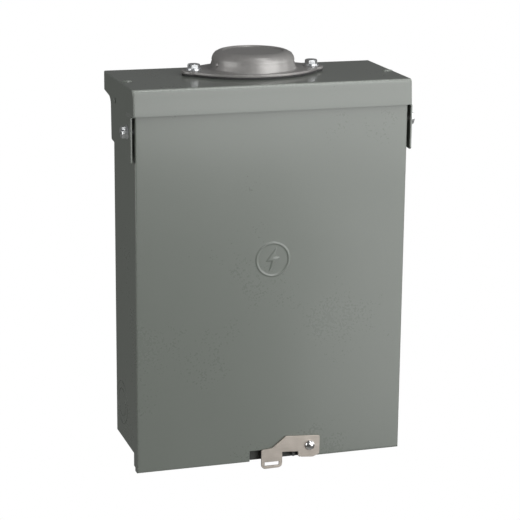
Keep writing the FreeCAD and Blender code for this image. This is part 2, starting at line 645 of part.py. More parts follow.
def frontCover():
    """Pan-shaped cover hung on two pivot screws, with a cut-out for the keeper."""
    body = newBody("FrontCover")
    half, face, bottom = valueOf(coverHalf), valueOf(coverFace), valueOf(coverBottom)
    pad(body, "CoverBlock", "z", (coverBottom, coverTop), lambda sketch: rectangle(
        sketch, (f"-{coverHalf}", coverHalf), (coverFace, f"{coverFace} + coverFlange")))
    fillet(body, "CoverBends", "hoodBend", lambda edge: (
        alongAxis(edge, "z") and abs(abs(edge.BoundBox.Center.x) - half) < 1e-3
        and abs(edge.BoundBox.Center.y - face) < 1e-3) or (
        alongAxis(edge, "x") and liesAt(edge, x=0, y=face, z=bottom)))
    inner = f"({coverHalf} - coverMetal)"
    pocket(body, "CoverHollow", "y", (coverInside, f"{coverFace} + coverFlange + 1"),
           lambda sketch: rectangle(sketch, (f"-{inner}", inner),
                                    (f"{coverBottom} + coverMetal", f"{coverTop} + 1")))
    # cut-out for the keeper, from left of the padlock loop to right of the plate's notch
    pocket(body, "KeeperCutout", "y", (f"{coverFace} - 1", f"{coverFace} + coverFlange + 2"),
           lambda sketch: rectangle(sketch, (cutoutLeft, cutoutRight),
                                    (f"{coverBottom} - 1", f"{latchZ} - 1")))
    # cropped lower corners let the bottom flange clear the side flanges' ends
    for side, name in ((-1, "Left"), (1, "Right")):
        ends = sorted((f"{side} * ({coverHalf} - 4)", f"{side} * ({coverHalf} + 1)"), key=valueOf)
        pocket(body, name + "Crop", "z", (f"{coverBottom} - 1", f"{coverBottom} + 3"),
               lambda sketch: rectangle(sketch, ends, (f"{coverFace} + coverFlange - 4",
                                                       f"{coverFace} + coverFlange + 1")))
    # hinge tabs carry the pivots behind the side flanges
    root, rear = f"({coverFace} + coverFlange)", f"({pivotY} + tabReach)"
    tab = [(f"{root} - 4", f"{pivotZ} - tabHalf"), (root, f"{pivotZ} - tabHalf"),
           (rear, f"{pivotZ} - tabReach"), (rear, f"{pivotZ} + tabReach"),
           (root, f"{pivotZ} + tabHalf"), (f"{root} - 4", f"{pivotZ} + tabHalf")]
    for side, name in ((-1, "Left"), (1, "Right")):
        span = sorted((f"{side} * {inner}", f"{side} * {coverHalf}"), key=valueOf)
        pad(body, name + "HingeTab", "x", span, lambda sketch: outline(sketch, tab))
    pocket(body, "CoverPivotHoles", "x", (f"-{coverHalf} - 1", f"{coverHalf} + 1"),
           lambda sketch: circle(sketch, pivotY, pivotZ, "pivotRadius + runningFit"))
    pocket(body, "LatchRivetHole", "y", (f"{coverFace} - 1", f"{coverInside} + 1"),
           lambda sketch: circle(sketch, "latchX", latchZ, "latchRadius + fastenerFit / 3"))

    def emblem(sketch):
        up = f"({hoodTop} - emblemDrop)"
        circle(sketch, "0", up, "emblemRadius")
        circle(sketch, "0", up, "emblemRadius - 1.4")

    pad(body, "EmblemRing", "y", (f"{coverFace} - emblemRise", f"{coverFace} + coverMetal / 2"), emblem)

    def bolt(sketch):
        """Plain zigzag bolt inside the ring."""
        up = f"({hoodTop} - emblemDrop)"
        points = [(0.20, 0.66), (-0.38, -0.08), (-0.04, -0.08), (-0.20, -0.66), (0.38, 0.10), (0.04, 0.10)]
        outline(sketch, [(f"{x} * emblemRadius", f"{up} + {z} * emblemRadius") for x, z in points])

    pad(body, "EmblemBolt", "y", (f"{coverFace} - emblemRise", f"{coverFace} + coverMetal / 2"), bolt)
    return node(body, "front_cover")


def coverPivots():
    """Shoulder screws through the ears and the cover's flanges, each with a nut inside."""
    screws, nuts = [], []
    for side in (-1, 1):
        tag = f"{side + 1}"
        centre = (pivotY, pivotZ)
        screws.append(screw("PivotScrew" + tag, "x", side, centre, f"{side} * (hoodWidth / 2 + earJoggle)",
                            "earJoggle + hoodMetal + earGap + coverMetal + 5.6", shank="pivotRadius",
                            head="screwHead + 0.6", rise="pivotHead", sides=6))
        nuts.append(ring("PivotNut" + tag, "screwHead + 0.6", "pivotRadius + runningFit", "x", centre,
                         outward(f"{side} * ({coverHalf} - coverMetal - earGap / 2)", -side, "4.2")))
    node(group("PivotScrews", screws), "cover_pivot_screws")
    node(group("PivotNuts", nuts), "cover_pivot_nuts")


def latch():
    """Latch plate with its padlock loop, hung on one rivet, and the keeper it closes over."""
    body = newBody("LatchPlate")

    def plate(sketch):
        farX = "(latchX - latchReach)"
        innerX = f"({farX} + loopWidth)"
        corners = [("latchX + 8.7", f"{latchZ} + 7.3"), ("latchX - 20.5", f"{latchZ} + 9.4"),
                   (f"{innerX} - 8.6", f"{latchZ} + 0.4"), (farX, f"{latchZ} - 0.8"),
                   (farX, f"{latchZ} - loopDrop"), (innerX, f"{latchZ} - loopDrop + 0.4"),
                   (innerX, f"{latchZ} - 3.9"), (f"{innerX} + 13.4", f"{latchZ} - 4.8"),
                   (f"{innerX} + 13.6", f"{latchZ} - 8.6"), (f"{innerX} + 16.4", f"{latchZ} - 9.8"),
                   ("latchX + 2.9", f"{latchZ} - 10.6"),
                   ("latchX + 8.4", f"{latchZ} - 8.4")]
        outline(sketch, corners)
        circle(sketch, "latchX", latchZ, "latchRadius + runningFit")

    pad(body, "Plate", "y", (latchFaceY, latchBackY), plate)
    loopX = "(latchX - latchReach + loopWidth / 2)"
    slotZ = f"({latchZ} - loopDrop + 4.1)"
    pocket(body, "PadlockSlot", "y", (f"{latchFaceY} - 1", f"{latchBackY} + 1"), lambda sketch: rectangle(
        sketch, (f"{loopX} - 6.1", f"{loopX} + 6.1"), (f"{slotZ} - 1.6", f"{slotZ} + 1.6")))
    farX, footZ = valueOf("latchX - latchReach"), valueOf(f"{latchZ} - loopDrop")
    fillet(body, "LoopCorners", "3.6", lambda edge: alongAxis(edge, "y")
           and edge.BoundBox.Center.z < footZ + 1 and edge.BoundBox.Center.x < valueOf(keeperX))
    fillet(body, "PlateCorners", "1.4", lambda edge: alongAxis(edge, "y") and (
        edge.BoundBox.Center.x > valueOf("latchX") or abs(edge.BoundBox.Center.x - farX) < 1e-3))
    node(body, "latch_plate")

    centre = ("latchX", latchZ)
    inside = f"({coverInside} + 0.8)"
    head = rod("LatchHead", "latchRadius + 1.7", "y", centre,
               (f"{latchFaceY} - 3.2", f"{latchFaceY} - 0.1"))
    rounded = doc.addObject("Part::Fillet", "LatchHeadRound")
    rounded.Base = head
    doc.recompute()
    rounded.Edges = [(i, 1.6, 1.6) for i, edge in enumerate(head.Shape.Edges, start=1)
                     if edge.BoundBox.YMax < valueOf(latchFaceY) - 3]
    rivet = fuse("LatchRivet", rounded,
                 rod("LatchShank", "latchRadius", "y", centre, (f"{latchFaceY} - 1", f"{inside} + 0.5")),
                 rod("LatchTail", "latchRadius + 1.2", "y", centre, (inside, f"{inside} + 1.2")))
    node(rivet, "latch_rivet")
    node(ring("LatchWasher", "latchRadius + tailRise", "latchRadius + fastenerFit / 3", "y", centre,
              (coverInside, inside)), "latch_washer")

    # the keeper's plate hangs from the box behind the cut-out; its tab shows in the plate's notch
    hang = (f"{boxFront} + 2.4", f"{boxFront} + 2.4 + keeperMetal")
    across = (f"{cutoutLeft} + 1.5", f"{cutoutRight} - 1.5")
    plate = block("KeeperPlate", across, hang, (f"{coverBottom} + 0.2", boxBottom))
    foot = block("KeeperFoot", across, (hang[0], f"{hang[0]} + 14"),
                 (f"{boxBottom} - keeperMetal", boxBottom))
    tab = block("KeeperTab", (keeperX, f"{keeperX} + keeperMetal"), (f"{latchFaceY} - 0.4", hang[1]),
                (f"{keeperTop} - 2.8", keeperTop))
    node(fuse("CoverKeeper", plate, foot, tab), "cover_keeper")


def interiorPan():
    """Sheet pan on two feet, screwed to the box's back."""
    web = block("PanWeb", ("-panHalfWidth", "panHalfWidth"), (panFace, f"{panFace} + panMetal"),
                ("-panBottom", "panTop"))
    pieces = [web]
    holes = []
    screws = []
    for side, edge in ((1, "panTop"), (-1, "(-panBottom)")):
        tag = f"{side + 1}"
        leg = sorted((edge, f"{edge} - {side} * panMetal"), key=valueOf)
        foot = sorted((f"{edge} - {side} * panMetal", f"{edge} + {side} * footDepth"), key=valueOf)
        pieces.append(block("PanLeg" + tag, ("-footHalfWidth", "footHalfWidth"),
                            (panFace, "-boxMetal"), leg))
        pieces.append(block("PanFoot" + tag, ("-footHalfWidth", "footHalfWidth"),
                            ("-boxMetal - panMetal", "-boxMetal"), foot))
        for hand in (-1, 1):
            centre = (f"{hand} * (footHalfWidth - 8)", f"{edge} + {side} * footDepth / 2")
            mark = f"{side + 1}{hand + 1}"
            holes.append(rod("PanHole" + mark, screwHole, "y", centre, ("-boxMetal - panMetal - 1", "0")))
            # the screws stop inside the back sheet, so nothing stands on the wall face
            screws.append(screw("PanScrew" + mark, "y", -1, centre, "-boxMetal - panMetal", "panMetal"))
    node(cut("InteriorPan", fuse("PanBlank", *pieces), *holes), "interior_pan")
    node(group("PanScrews", screws), "interior_pan_screws")


def rowZ(row):
    return f"(fieldZ + {1 - row} * breakerPitch)"


def busAssembly():
    """Moulded support, two line bars with stabs, and the line lugs."""
    half = "(busOffset + busWidth / 2 + 8)"
    low = f"({rowZ(2)} - breakerPitch / 2)"
    support = block("BusSupport", (f"-{half}", half), (baseFace, panFace), (low, "panTop - 1"))
    node(support, "bus_support")

    lugScrews = []
    for side, name, rows in ((-1, "a", (0, 2)), (1, "b", (1,))):
        centre = f"({side} * busOffset)"
        bar = block(f"Bus{name}Bar", (f"{centre} - busWidth / 2", f"{centre} + busWidth / 2"),
                    (busFace, baseFace), (f"{low} + 3", "lugTop - 1"))
        pieces = [bar]
        for row in rows:
            # a foot on the bar carries the blade across the middle, clear of the other bar
            z = (f"{rowZ(row)} - stabThick / 2", f"{rowZ(row)} + stabThick / 2")
            foot = sorted((centre, f"{side} * (busOffset - busWidth / 2 - 1)"), key=valueOf)
            blade = sorted((centre, f"{-side} * stabHalf"), key=valueOf)
            pieces.append(block(f"Bus{name}Foot{row}", foot, (f"{busFace} - 3", busFace), z))
            pieces.append(block(f"Bus{name}Stab{row}", blade,
                                (f"{busFace} - stabRise", f"{busFace} - 3"), z))
        node(fuse("LineBus" + name, *pieces), "line_bus_" + name)

        lugX = (f"{centre} - lugWidth / 2 + {side} * 4", f"{centre} + lugWidth / 2 + {side} * 4")
        middleX = f"({centre} + {side} * 4)"
        lugY = (f"{busFace} - lugThick", busFace)
        lugZ = ("lugTop - lugHeight", "lugTop")
        wireY = f"({busFace} - lugBore - 2)"
        lug = cut("LineLug" + name, block(f"Lug{name}Block", lugX, lugY, lugZ),
                  rod(f"Lug{name}Bore", "lugBore", "z", (middleX, wireY),
                      ("lugTop - lugHeight - 1", "lugTop + 1")),
                  rod(f"Lug{name}Tap", "lugBore * 0.75 + fastenerFit", "y",
                      (middleX, "lugTop - lugHeight / 2"), (f"{busFace} - lugThick - 1", wireY)))
        node(lug, "line_lug_" + name)
        lugScrews.append(rod(f"LugScrew{name}", "lugBore * 0.75", "y", (middleX, "lugTop - lugHeight / 2"),
                             (f"{busFace} - lugThick - 1.5", f"{wireY} - lugBore - 0.3")))
    node(group("LineLugScrews", lugScrews), "line_lug_screws")


def breakerRails():
    """Rails on the pan that the breakers' outer ends hook onto."""
    rows = (f"{rowZ(2)} - breakerWidth / 2", f"{rowZ(0)} + breakerWidth / 2")
    for side, name in ((-1, "left"), (1, "right")):
        def span(low, high):
            return sorted((f"{side} * ({low})", f"{side} * ({high})"), key=valueOf)

        outerX, hookY = f"{railX} + railHook + 1.5", f"{breakerBack} - 8"
        upright = block(f"Rail{name}Web", span(outerX, f"{outerX} - railMetal"), (hookY, panFace), rows)
        hook = block(f"Rail{name}Hook", span(railX + " + 0.5", outerX), (hookY, f"{hookY} + railMetal"), rows)
        foot = block(f"Rail{name}Foot", span(f"{railX} - 10", outerX),
                     (f"{panFace} - railMetal", panFace), rows)
        node(fuse("Rail" + name, upright, hook, foot), "breaker_rail_" + name)


def breaker(number, side, row):
    """Single-pole plug-on breaker: case, pivot pin and handle. Returns its small pieces."""
    def span(low, high):
        return sorted((f"{side} * ({low})", f"{side} * ({high})"), key=valueOf)

    tag = str(number)
    z = rowZ(row)
    full = (f"{z} - breakerWidth / 2", f"{z} + breakerWidth / 2")
    beyond = (f"{full[0]} - 1", f"{full[1]} + 1")
    deep = (f"{z} - handleWidth / 2 - handleClear", f"{z} + handleWidth / 2 + handleClear")
    inner, outer = "breakerGap", "breakerGap + breakerLength"
    jaw = (f"{z} - stabThick / 2 - 1.4", f"{z} + stabThick / 2 + 1.4")
    terminalX = f"{side} * ({outer} - 9)"
    case = cut(
        "Case" + tag,
        fuse("CaseBlank" + tag,
             block("CaseBody" + tag, span(inner, outer), (shoulderY, breakerBack), full),
             block("CaseNose" + tag, span(f"{noseX} - noseHalf", f"{noseX} + noseHalf"),
                   (noseY, shoulderY), full)),
        # room for the stab's jaw, the rail's hook, the handle and the wire terminal
        block("CaseJaw" + tag, span("breakerGap - 1", "busOffset + 1"),
              (f"{busFace} - stabRise - 3", f"{breakerBack} + 1"), jaw),
        block("CaseHook" + tag, span(railX, f"{outer} + 1"),
              (f"{breakerBack} - 8.5", f"{breakerBack} - 8 + railMetal + 0.5"), beyond),
        block("CaseFootRelief" + tag, span(f"{outer} - 0.4", f"{outer} + 1"),
              (f"{breakerBack} - 8.5", f"{breakerBack} + 1"), beyond),
        rod("CaseRotor" + tag, "rotorRadius + handleClear", "z", (f"{side} * {noseX}", handleY), deep),
        block("CaseSlot" + tag, span(f"{noseX} - noseHalf + 2.2", f"{noseX} + noseHalf - 2.2"),
              (f"{noseY} - 1", handleY), deep),
        rod("CasePinHole" + tag, "pinRadius + fastenerFit / 3", "z", (f"{side} * {noseX}", handleY),
            (f"{full[0]} + 2", f"{full[1]} - 2")),
        rod("CaseScrewHole" + tag, "screwHead + 0.6", "y", (terminalX, z),
            (f"{shoulderY} - 1", f"{shoulderY} + 12")),
        rod("CaseWireHole" + tag, "wireRadius", "x", (f"{shoulderY} + 15", z),
            span(f"{outer} - 18", f"{outer} + 1")))
    node(case, f"breaker_{number}_case")

    # the handle is drawn upright about its pivot, then leaned towards the middle
    wide, through = ("-handleWidth / 2", "handleWidth / 2"), ("-handleWidth", "handleWidth")
    handle = cut("Handle" + tag,
                 fuse("HandleBlank" + tag,
                      rod("HandleRoot" + tag, "rotorRadius", "z", ("0", "0"), wide),
                      block("HandleLever" + tag, ("-handleThick / 2", "handleThick / 2"),
                            ("-handleReach", "0"), wide)),
                 rod("HandleBore" + tag, "pinRadius + runningFit", "z", ("0", "0"), through),
                 rod("HandleTieHole" + tag, "pinRadius * 0.8 + fastenerFit", "z",
                     ("0", "3 - handleReach"), through))
    lean(handle, side, f"{side} * {noseX}", z)
    node(handle, f"breaker_{number}_handle")

    pin = rod("HandlePin" + tag, "pinRadius", "z", (f"{side} * {noseX}", handleY),
              (f"{full[0]} + 2.1", f"{full[1]} - 2.1"))
    terminal = screw("Terminal" + tag, "y", -1, (terminalX, z), f"{shoulderY} + 4", "7.5")
    # the jaw is a U of sprung copper round the stab
    jawHalf = "(stabThick / 2 + 1.2)"
    jawY = (f"{busFace} - stabRise - 2.6", f"{breakerBack} - 1")
    clip = cut("Jaw" + tag,
               block("JawBlock" + tag, span("breakerGap + 1", "stabHalf + 2"), jawY,
                     (f"{z} - {jawHalf}", f"{z} + {jawHalf}")),
               block("JawGap" + tag, span("breakerGap", "stabHalf + 3"),
                     (f"{busFace} - stabRise - 1.2", breakerBack),
                     (f"{z} - stabThick / 2 - 0.1", f"{z} + stabThick / 2 + 0.1")))
    return pin, terminal, clip


def lean(thing, side, x, z):
    """Lean a handle, drawn about its pivot, towards the middle and put it in place."""
    thing.Placement = FreeCAD.Placement(FreeCAD.Vector(), FreeCAD.Rotation(FreeCAD.Vector(0, 0, -side), 1))
    bind(thing, "Placement.Rotation.Angle", "handleTilt")
    for axis, text in (("x", x), ("y", handleY), ("z", z)):
        bind(thing, f"Placement.Base.{axis}", text)


def breakers():
    """Two columns of three breakers; the upper two on the left are tied as a double-pole."""
    pins, terminals, clips = [], [], []
    for row in range(3):
        for side, number in ((-1, 2 * row + 1), (1, 2 * row + 2)):
            pin, terminal, clip = breaker(number, side, row)
            pins.append(pin)
            terminals.append(terminal)
            clips.append(clip)
    node(group("HandlePins", pins), "breaker_handle_pins")
    node(group("TerminalScrews", terminals), "breaker_terminal_screws")
    node(group("StabJaws", clips), "breaker_stab_jaws")

    gap = "((breakerPitch - handleWidth) / 2 - 0.1)"
    tie = fuse("HandleTie",
               block("TieBar", ("-handleThick / 2 + 0.6", "handleThick / 2 - 0.6"),
                     ("-handleReach + 0.5", "5.5 - handleReach"), (f"-{gap}", gap)),
               rod("TiePin", "pinRadius * 0.8", "z", ("0", "3 - handleReach"),
                   (f"-{gap} - handleWidth * 0.6", f"{gap} + handleWidth * 0.6")))
    lean(tie, -1, f"-{noseX}", "fieldZ + breakerPitch / 2")
    node(tie, "handle_tie")


def terminalBar(name, label, half, y, z, count, mounts):
    """Drilled bar with a row of wire terminals; mounts are the x places of its fixing screws."""
    height = (f"{z} - barHeight / 2", f"{z} + barHeight / 2")
    face = y[0]
    holes, screws = [], []
    places = [f"({i - (count - 1) / 2} * terminalPitch)" for i in range(count)]
    for i, x in enumerate(places):
        holes.append(rod(f"{name}Wire{i}", "wireRadius", "z", (x, f"{face} + barThick * 0.55"),
                         (f"{height[0]} - 1", f"{height[1]} + 1")))
        holes.append(rod(f"{name}Tap{i}", screwHole, "y", (x, z),
                         (f"{face} - 1", f"{face} + barThick * 0.5")))
        screws.append(screw(f"{name}Screw{i}", "y", -1, (x, z), face, "barThick * 0.35"))
    fixings = []
    for i, x in enumerate(mounts):
        holes.append(rod(f"{name}Fixing{i}", screwHole, "y", (x, z), (f"{face} - 1", f"{y[1]} + 1")))
        fixings.append(screw(f"{name}Bolt{i}", "y", -1, (x, z), face, "barThick - 0.2"))
    bar = cut(name, block(name + "Blank", (f"-{half}", half), y, height), *holes)
    node(bar, label)
    node(group(name + "Screws", screws), label + "_screws")
    node(group(name + "Fixings", fixings), label + "_fixings")


def groundingParts():
    """Neutral bar on two insulators, and the ground bar on the box's back."""
    mounts = ["(5 - neutralHalf)", "(neutralHalf - 5)"]
    terminalBar("NeutralBar", "neutral_bar", "neutralHalf", (f"{baseFace} - barThick", baseFace),
                "(-neutralZ)", 7, mounts)
    insulators = [block(f"Insulator{i}", (f"{x} - 7", f"{x} + 7"), (baseFace, panFace),
                        ("-neutralZ - barHeight / 2 - 1", "-neutralZ + barHeight / 2 + 1"))
                  for i, x in enumerate(mounts)]
    node(group("NeutralInsulators", insulators), "neutral_insulators")
    mounts = ["(5 - groundHalf)", "(groundHalf - 5)"]
    terminalBar("GroundBar", "ground_bar", "groundHalf", ("-boxMetal - barThick", "-boxMetal"),
                groundZ, 5, mounts)

    # strap that bonds the neutral bar to the pan
    strap = fuse("BondingStrap",
                 block("StrapTop", ("-5", "5"), (f"{baseFace} - 1", baseFace),
                       ("-neutralZ - barHeight / 2 - 9", "-neutralZ - barHeight / 2 - 0.1")),
                 block("StrapLeg", ("-5", "5"), (f"{baseFace} - 1", panFace),
                       ("-neutralZ - barHeight / 2 - 9", "-neutralZ - barHeight / 2 - 8")))
    node(strap, "bonding_strap")


def deadFront():
    """Inner plate with a window over each breaker column, on brackets on the box's sides."""
    across, flange = (f"-{deadHalf}", deadHalf), (deadFace, f"{deadFace} + deadFlange")
    plate = fuse("DeadPlate",
                 block("DeadWeb", across, (deadFace, deadBack), (deadBottom, deadTop)),
                 block("DeadTopFlange", across, flange, (f"{deadTop} - deadMetal", deadTop)),
                 block("DeadBottomFlange", across, flange, (deadBottom, f"{deadBottom} + deadMetal")))
    through = (f"{deadFace} - 1", f"{deadBack} + 1")
    tools, screws = [], []
    for side in (-1, 1):
        window = sorted((f"{side} * ({noseX} - noseHalf - windowGap)",
                         f"{side} * ({noseX} + noseHalf + windowGap)"), key=valueOf)
        tools.append(block(f"Window{side + 1}", window, through,
                           (f"{rowZ(2)} - breakerWidth / 2 - windowGap",
                            f"{rowZ(0)} + breakerWidth / 2 + windowGap")))
        bracketHoles = []
        for up in (-1, 1):
            centre = (f"{side} * ({boxInner} - bracketReach / 2 - 1)", f"{up} * bracketScrew")
            mark = f"{side + 1}{up + 1}"
            tools.append(rod("DeadHole" + mark, screwHole, "y", centre, through))
            bracketHoles.append(rod("BracketHole" + mark, screwHole, "y", centre,
                                    (deadFace, f"{deadBack} + 4")))
            screws.append(screw("DeadScrew" + mark, "y", -1, centre, deadFace, "deadMetal + boxMetal + 4"))
        name = "left" if side < 0 else "right"
        lip = sorted((f"{side} * {boxInner}", f"{side} * ({boxInner} - bracketReach)"), key=valueOf)
        leg = sorted((f"{side} * {boxInner}", f"{side} * ({boxInner} - boxMetal)"), key=valueOf)
        tall = ("-bracketHalf", "bracketHalf")
        bracket = cut("Bracket" + name,
                      fuse("BracketBlank" + name,
                           block("BracketLip" + name, lip, (deadBack, f"{deadBack} + boxMetal"), tall),
                           block("BracketLeg" + name, leg, (deadBack, f"{deadBack} + 14"), tall)),
                      *bracketHoles)
        node(bracket, "dead_front_bracket_" + name)
    node(cut("DeadFront", plate, *tools), "dead_front")
    node(group("DeadFrontScrews", screws), "dead_front_screws")


enclosureBox()
rainHood()
hoodRivets()
hubCap()
frontCover()
coverPivots()
latch()
interiorPan()
busAssembly()
breakerRails()
breakers()
groundingParts()
deadFront()
doc.recompute()

for item in doc.Objects:
    if {"Invalid", "Error"} & set(item.State):
        raise RuntimeError(f"{item.Name}: {item.State}")
for item in NODES:
    if item.Shape.isNull() or not item.Shape.isValid():
        raise RuntimeError(item.Label + " has no valid shape")

os.makedirs("parts", exist_ok=True)
for item in NODES:
    item.Shape.exportStep(f"parts/{item.Label}.step")
print(len(NODES), "nodes")
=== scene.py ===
import json
import math

import bmesh
import bpy
from mathutils import Matrix, Vector, noise


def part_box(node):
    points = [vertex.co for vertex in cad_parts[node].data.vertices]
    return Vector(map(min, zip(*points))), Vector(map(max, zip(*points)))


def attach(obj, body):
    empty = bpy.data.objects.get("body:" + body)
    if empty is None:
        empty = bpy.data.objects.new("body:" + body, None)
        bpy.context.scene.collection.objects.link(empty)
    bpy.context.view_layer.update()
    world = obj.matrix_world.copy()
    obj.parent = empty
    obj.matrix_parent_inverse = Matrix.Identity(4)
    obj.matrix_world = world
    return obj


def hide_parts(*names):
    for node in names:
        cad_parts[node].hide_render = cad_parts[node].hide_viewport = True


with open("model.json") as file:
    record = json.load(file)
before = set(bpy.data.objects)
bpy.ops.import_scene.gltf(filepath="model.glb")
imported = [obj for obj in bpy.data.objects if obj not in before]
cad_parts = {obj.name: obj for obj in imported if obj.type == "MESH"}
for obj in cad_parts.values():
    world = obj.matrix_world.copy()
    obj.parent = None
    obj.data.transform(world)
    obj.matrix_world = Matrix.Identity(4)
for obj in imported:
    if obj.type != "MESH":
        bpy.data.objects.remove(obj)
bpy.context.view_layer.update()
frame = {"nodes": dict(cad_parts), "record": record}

mm = 0.001
print("frame loaded")


# A node's corners in mm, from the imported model, so that every piece follows it.
def boxOf(node):
    low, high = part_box(node)
    return low / mm, high / mm


# sRGB hex to the linear colour that sockets take.
def linear(hexColour):
    parts = [int(hexColour[i:i + 2], 16) / 255 for i in (0, 2, 4)]
    return [p / 12.92 if p <= 0.04045 else ((p + 0.055) / 1.055) ** 2.4 for p in parts] + [1.0]


# Adds one node with its settings, input values and links.
def addNode(tree, kind, inputs=None, links=None, **settings):
    made = tree.nodes.new(kind)
    for key, value in settings.items():
        setattr(made, key, value)
    for key, value in (inputs or {}).items():
        made.inputs[key].default_value = value
    for key, socket in (links or {}).items():
        tree.links.new(socket, made.inputs[key])
    return made


noiseSpread = (0.3, 0.7)  # nearly all of a noise texture's values lie in here


# A finish: two close colours in broad patches, a fine grain, uneven gloss and bumps.
# grain, patch, rise and speckSize are real sizes in mm; stretch draws the grain out along one axis;
# mottle is the share of the fine grain in the colour.
def finish(name, dark, light, metallic=0.0, roughness=(0.4, 0.5), grain=1.5, patch=60.0, rise=0.02,
           stretch=(1, 1, 1), ior=1.5, coat=0.0, coatRoughness=0.1, speck=None, speckSize=4.0,
           mottle=0.35, paintedHighlight=None):
    material = bpy.data.materials.new(name)
    material.use_nodes = True
    tree = material.node_tree
    tree.nodes.clear()
    place = addNode(tree, "ShaderNodeTexCoord").outputs["Object"]
    turned = addNode(tree, "ShaderNodeMapping", {"Scale": stretch}, {"Vector": place}).outputs["Vector"]
    broad = addNode(tree, "ShaderNodeTexNoise", {"Scale": 1 / (patch * mm), "Detail": 3.0, "Roughness": 0.55},
                    {"Vector": place}).outputs["Fac"]
    fine = addNode(tree, "ShaderNodeTexNoise", {"Scale": 1 / (grain * mm), "Detail": 2.0, "Roughness": 0.5},
                   {"Vector": turned}).outputs["Fac"]
    blended = addNode(tree, "ShaderNodeMix", {0: mottle}, {2: broad, 3: fine}, data_type="FLOAT").outputs[0]
    tones = addNode(tree, "ShaderNodeValToRGB", links={"Fac": blended})
    for stop, at, tone in zip(tones.color_ramp.elements, noiseSpread, (dark, light)):
        stop.position, stop.color = at, linear(tone)
    colour = tones.outputs["Color"]
    if speck:  # only the peaks of this noise show
        spots = addNode(tree, "ShaderNodeTexNoise",
                        {"Scale": 1 / (speckSize * mm), "Detail": 4.0, "Roughness": 0.7},
                        {"Vector": turned}).outputs["Fac"]
        seen = addNode(tree, "ShaderNodeMapRange", {1: 0.6, 2: 0.75, 3: 0.0, 4: 0.6}, {0: spots}).outputs[0]
        colour = addNode(tree, "ShaderNodeMix", {7: linear(speck)}, {0: seen, 6: colour},
                         data_type="RGBA").outputs[2]
    if paintedHighlight:  # painted highlight: a paler tone laid along the marked folds
        paintedFoldHighlight = addNode(tree, "ShaderNodeAttribute", attribute_name="paintedFoldHighlight").outputs["Fac"]
        uneven = addNode(tree, "ShaderNodeMath", {1: 0.35}, {0: fine}, operation="ADD").outputs[0]
        highlightAmount = addNode(tree, "ShaderNodeMath", links={0: paintedFoldHighlight, 1: uneven}, operation="MULTIPLY").outputs[0]
        colour = addNode(tree, "ShaderNodeMix", {7: linear(paintedHighlight)}, {0: highlightAmount, 6: colour},
                         data_type="RGBA").outputs[2]
    gloss = addNode(tree, "ShaderNodeMapRange",
                    {1: noiseSpread[0], 2: noiseSpread[1], 3: roughness[0], 4: roughness[1]},
                    {0: blended}).outputs[0]
    bump = addNode(tree, "ShaderNodeBump", {"Strength": 1.0, "Distance": rise * mm}, {"Height": fine})
    shader = addNode(tree, "ShaderNodeBsdfPrincipled",
                     {"Metallic": metallic, "IOR": ior, "Coat Weight": coat, "Coat Roughness": coatRoughness},
                     {"Base Color": colour, "Roughness": gloss, "Normal": bump.outputs["Normal"]})
    addNode(tree, "ShaderNodeOutputMaterial", links={"Surface": shader.outputs["BSDF"]})
    return material


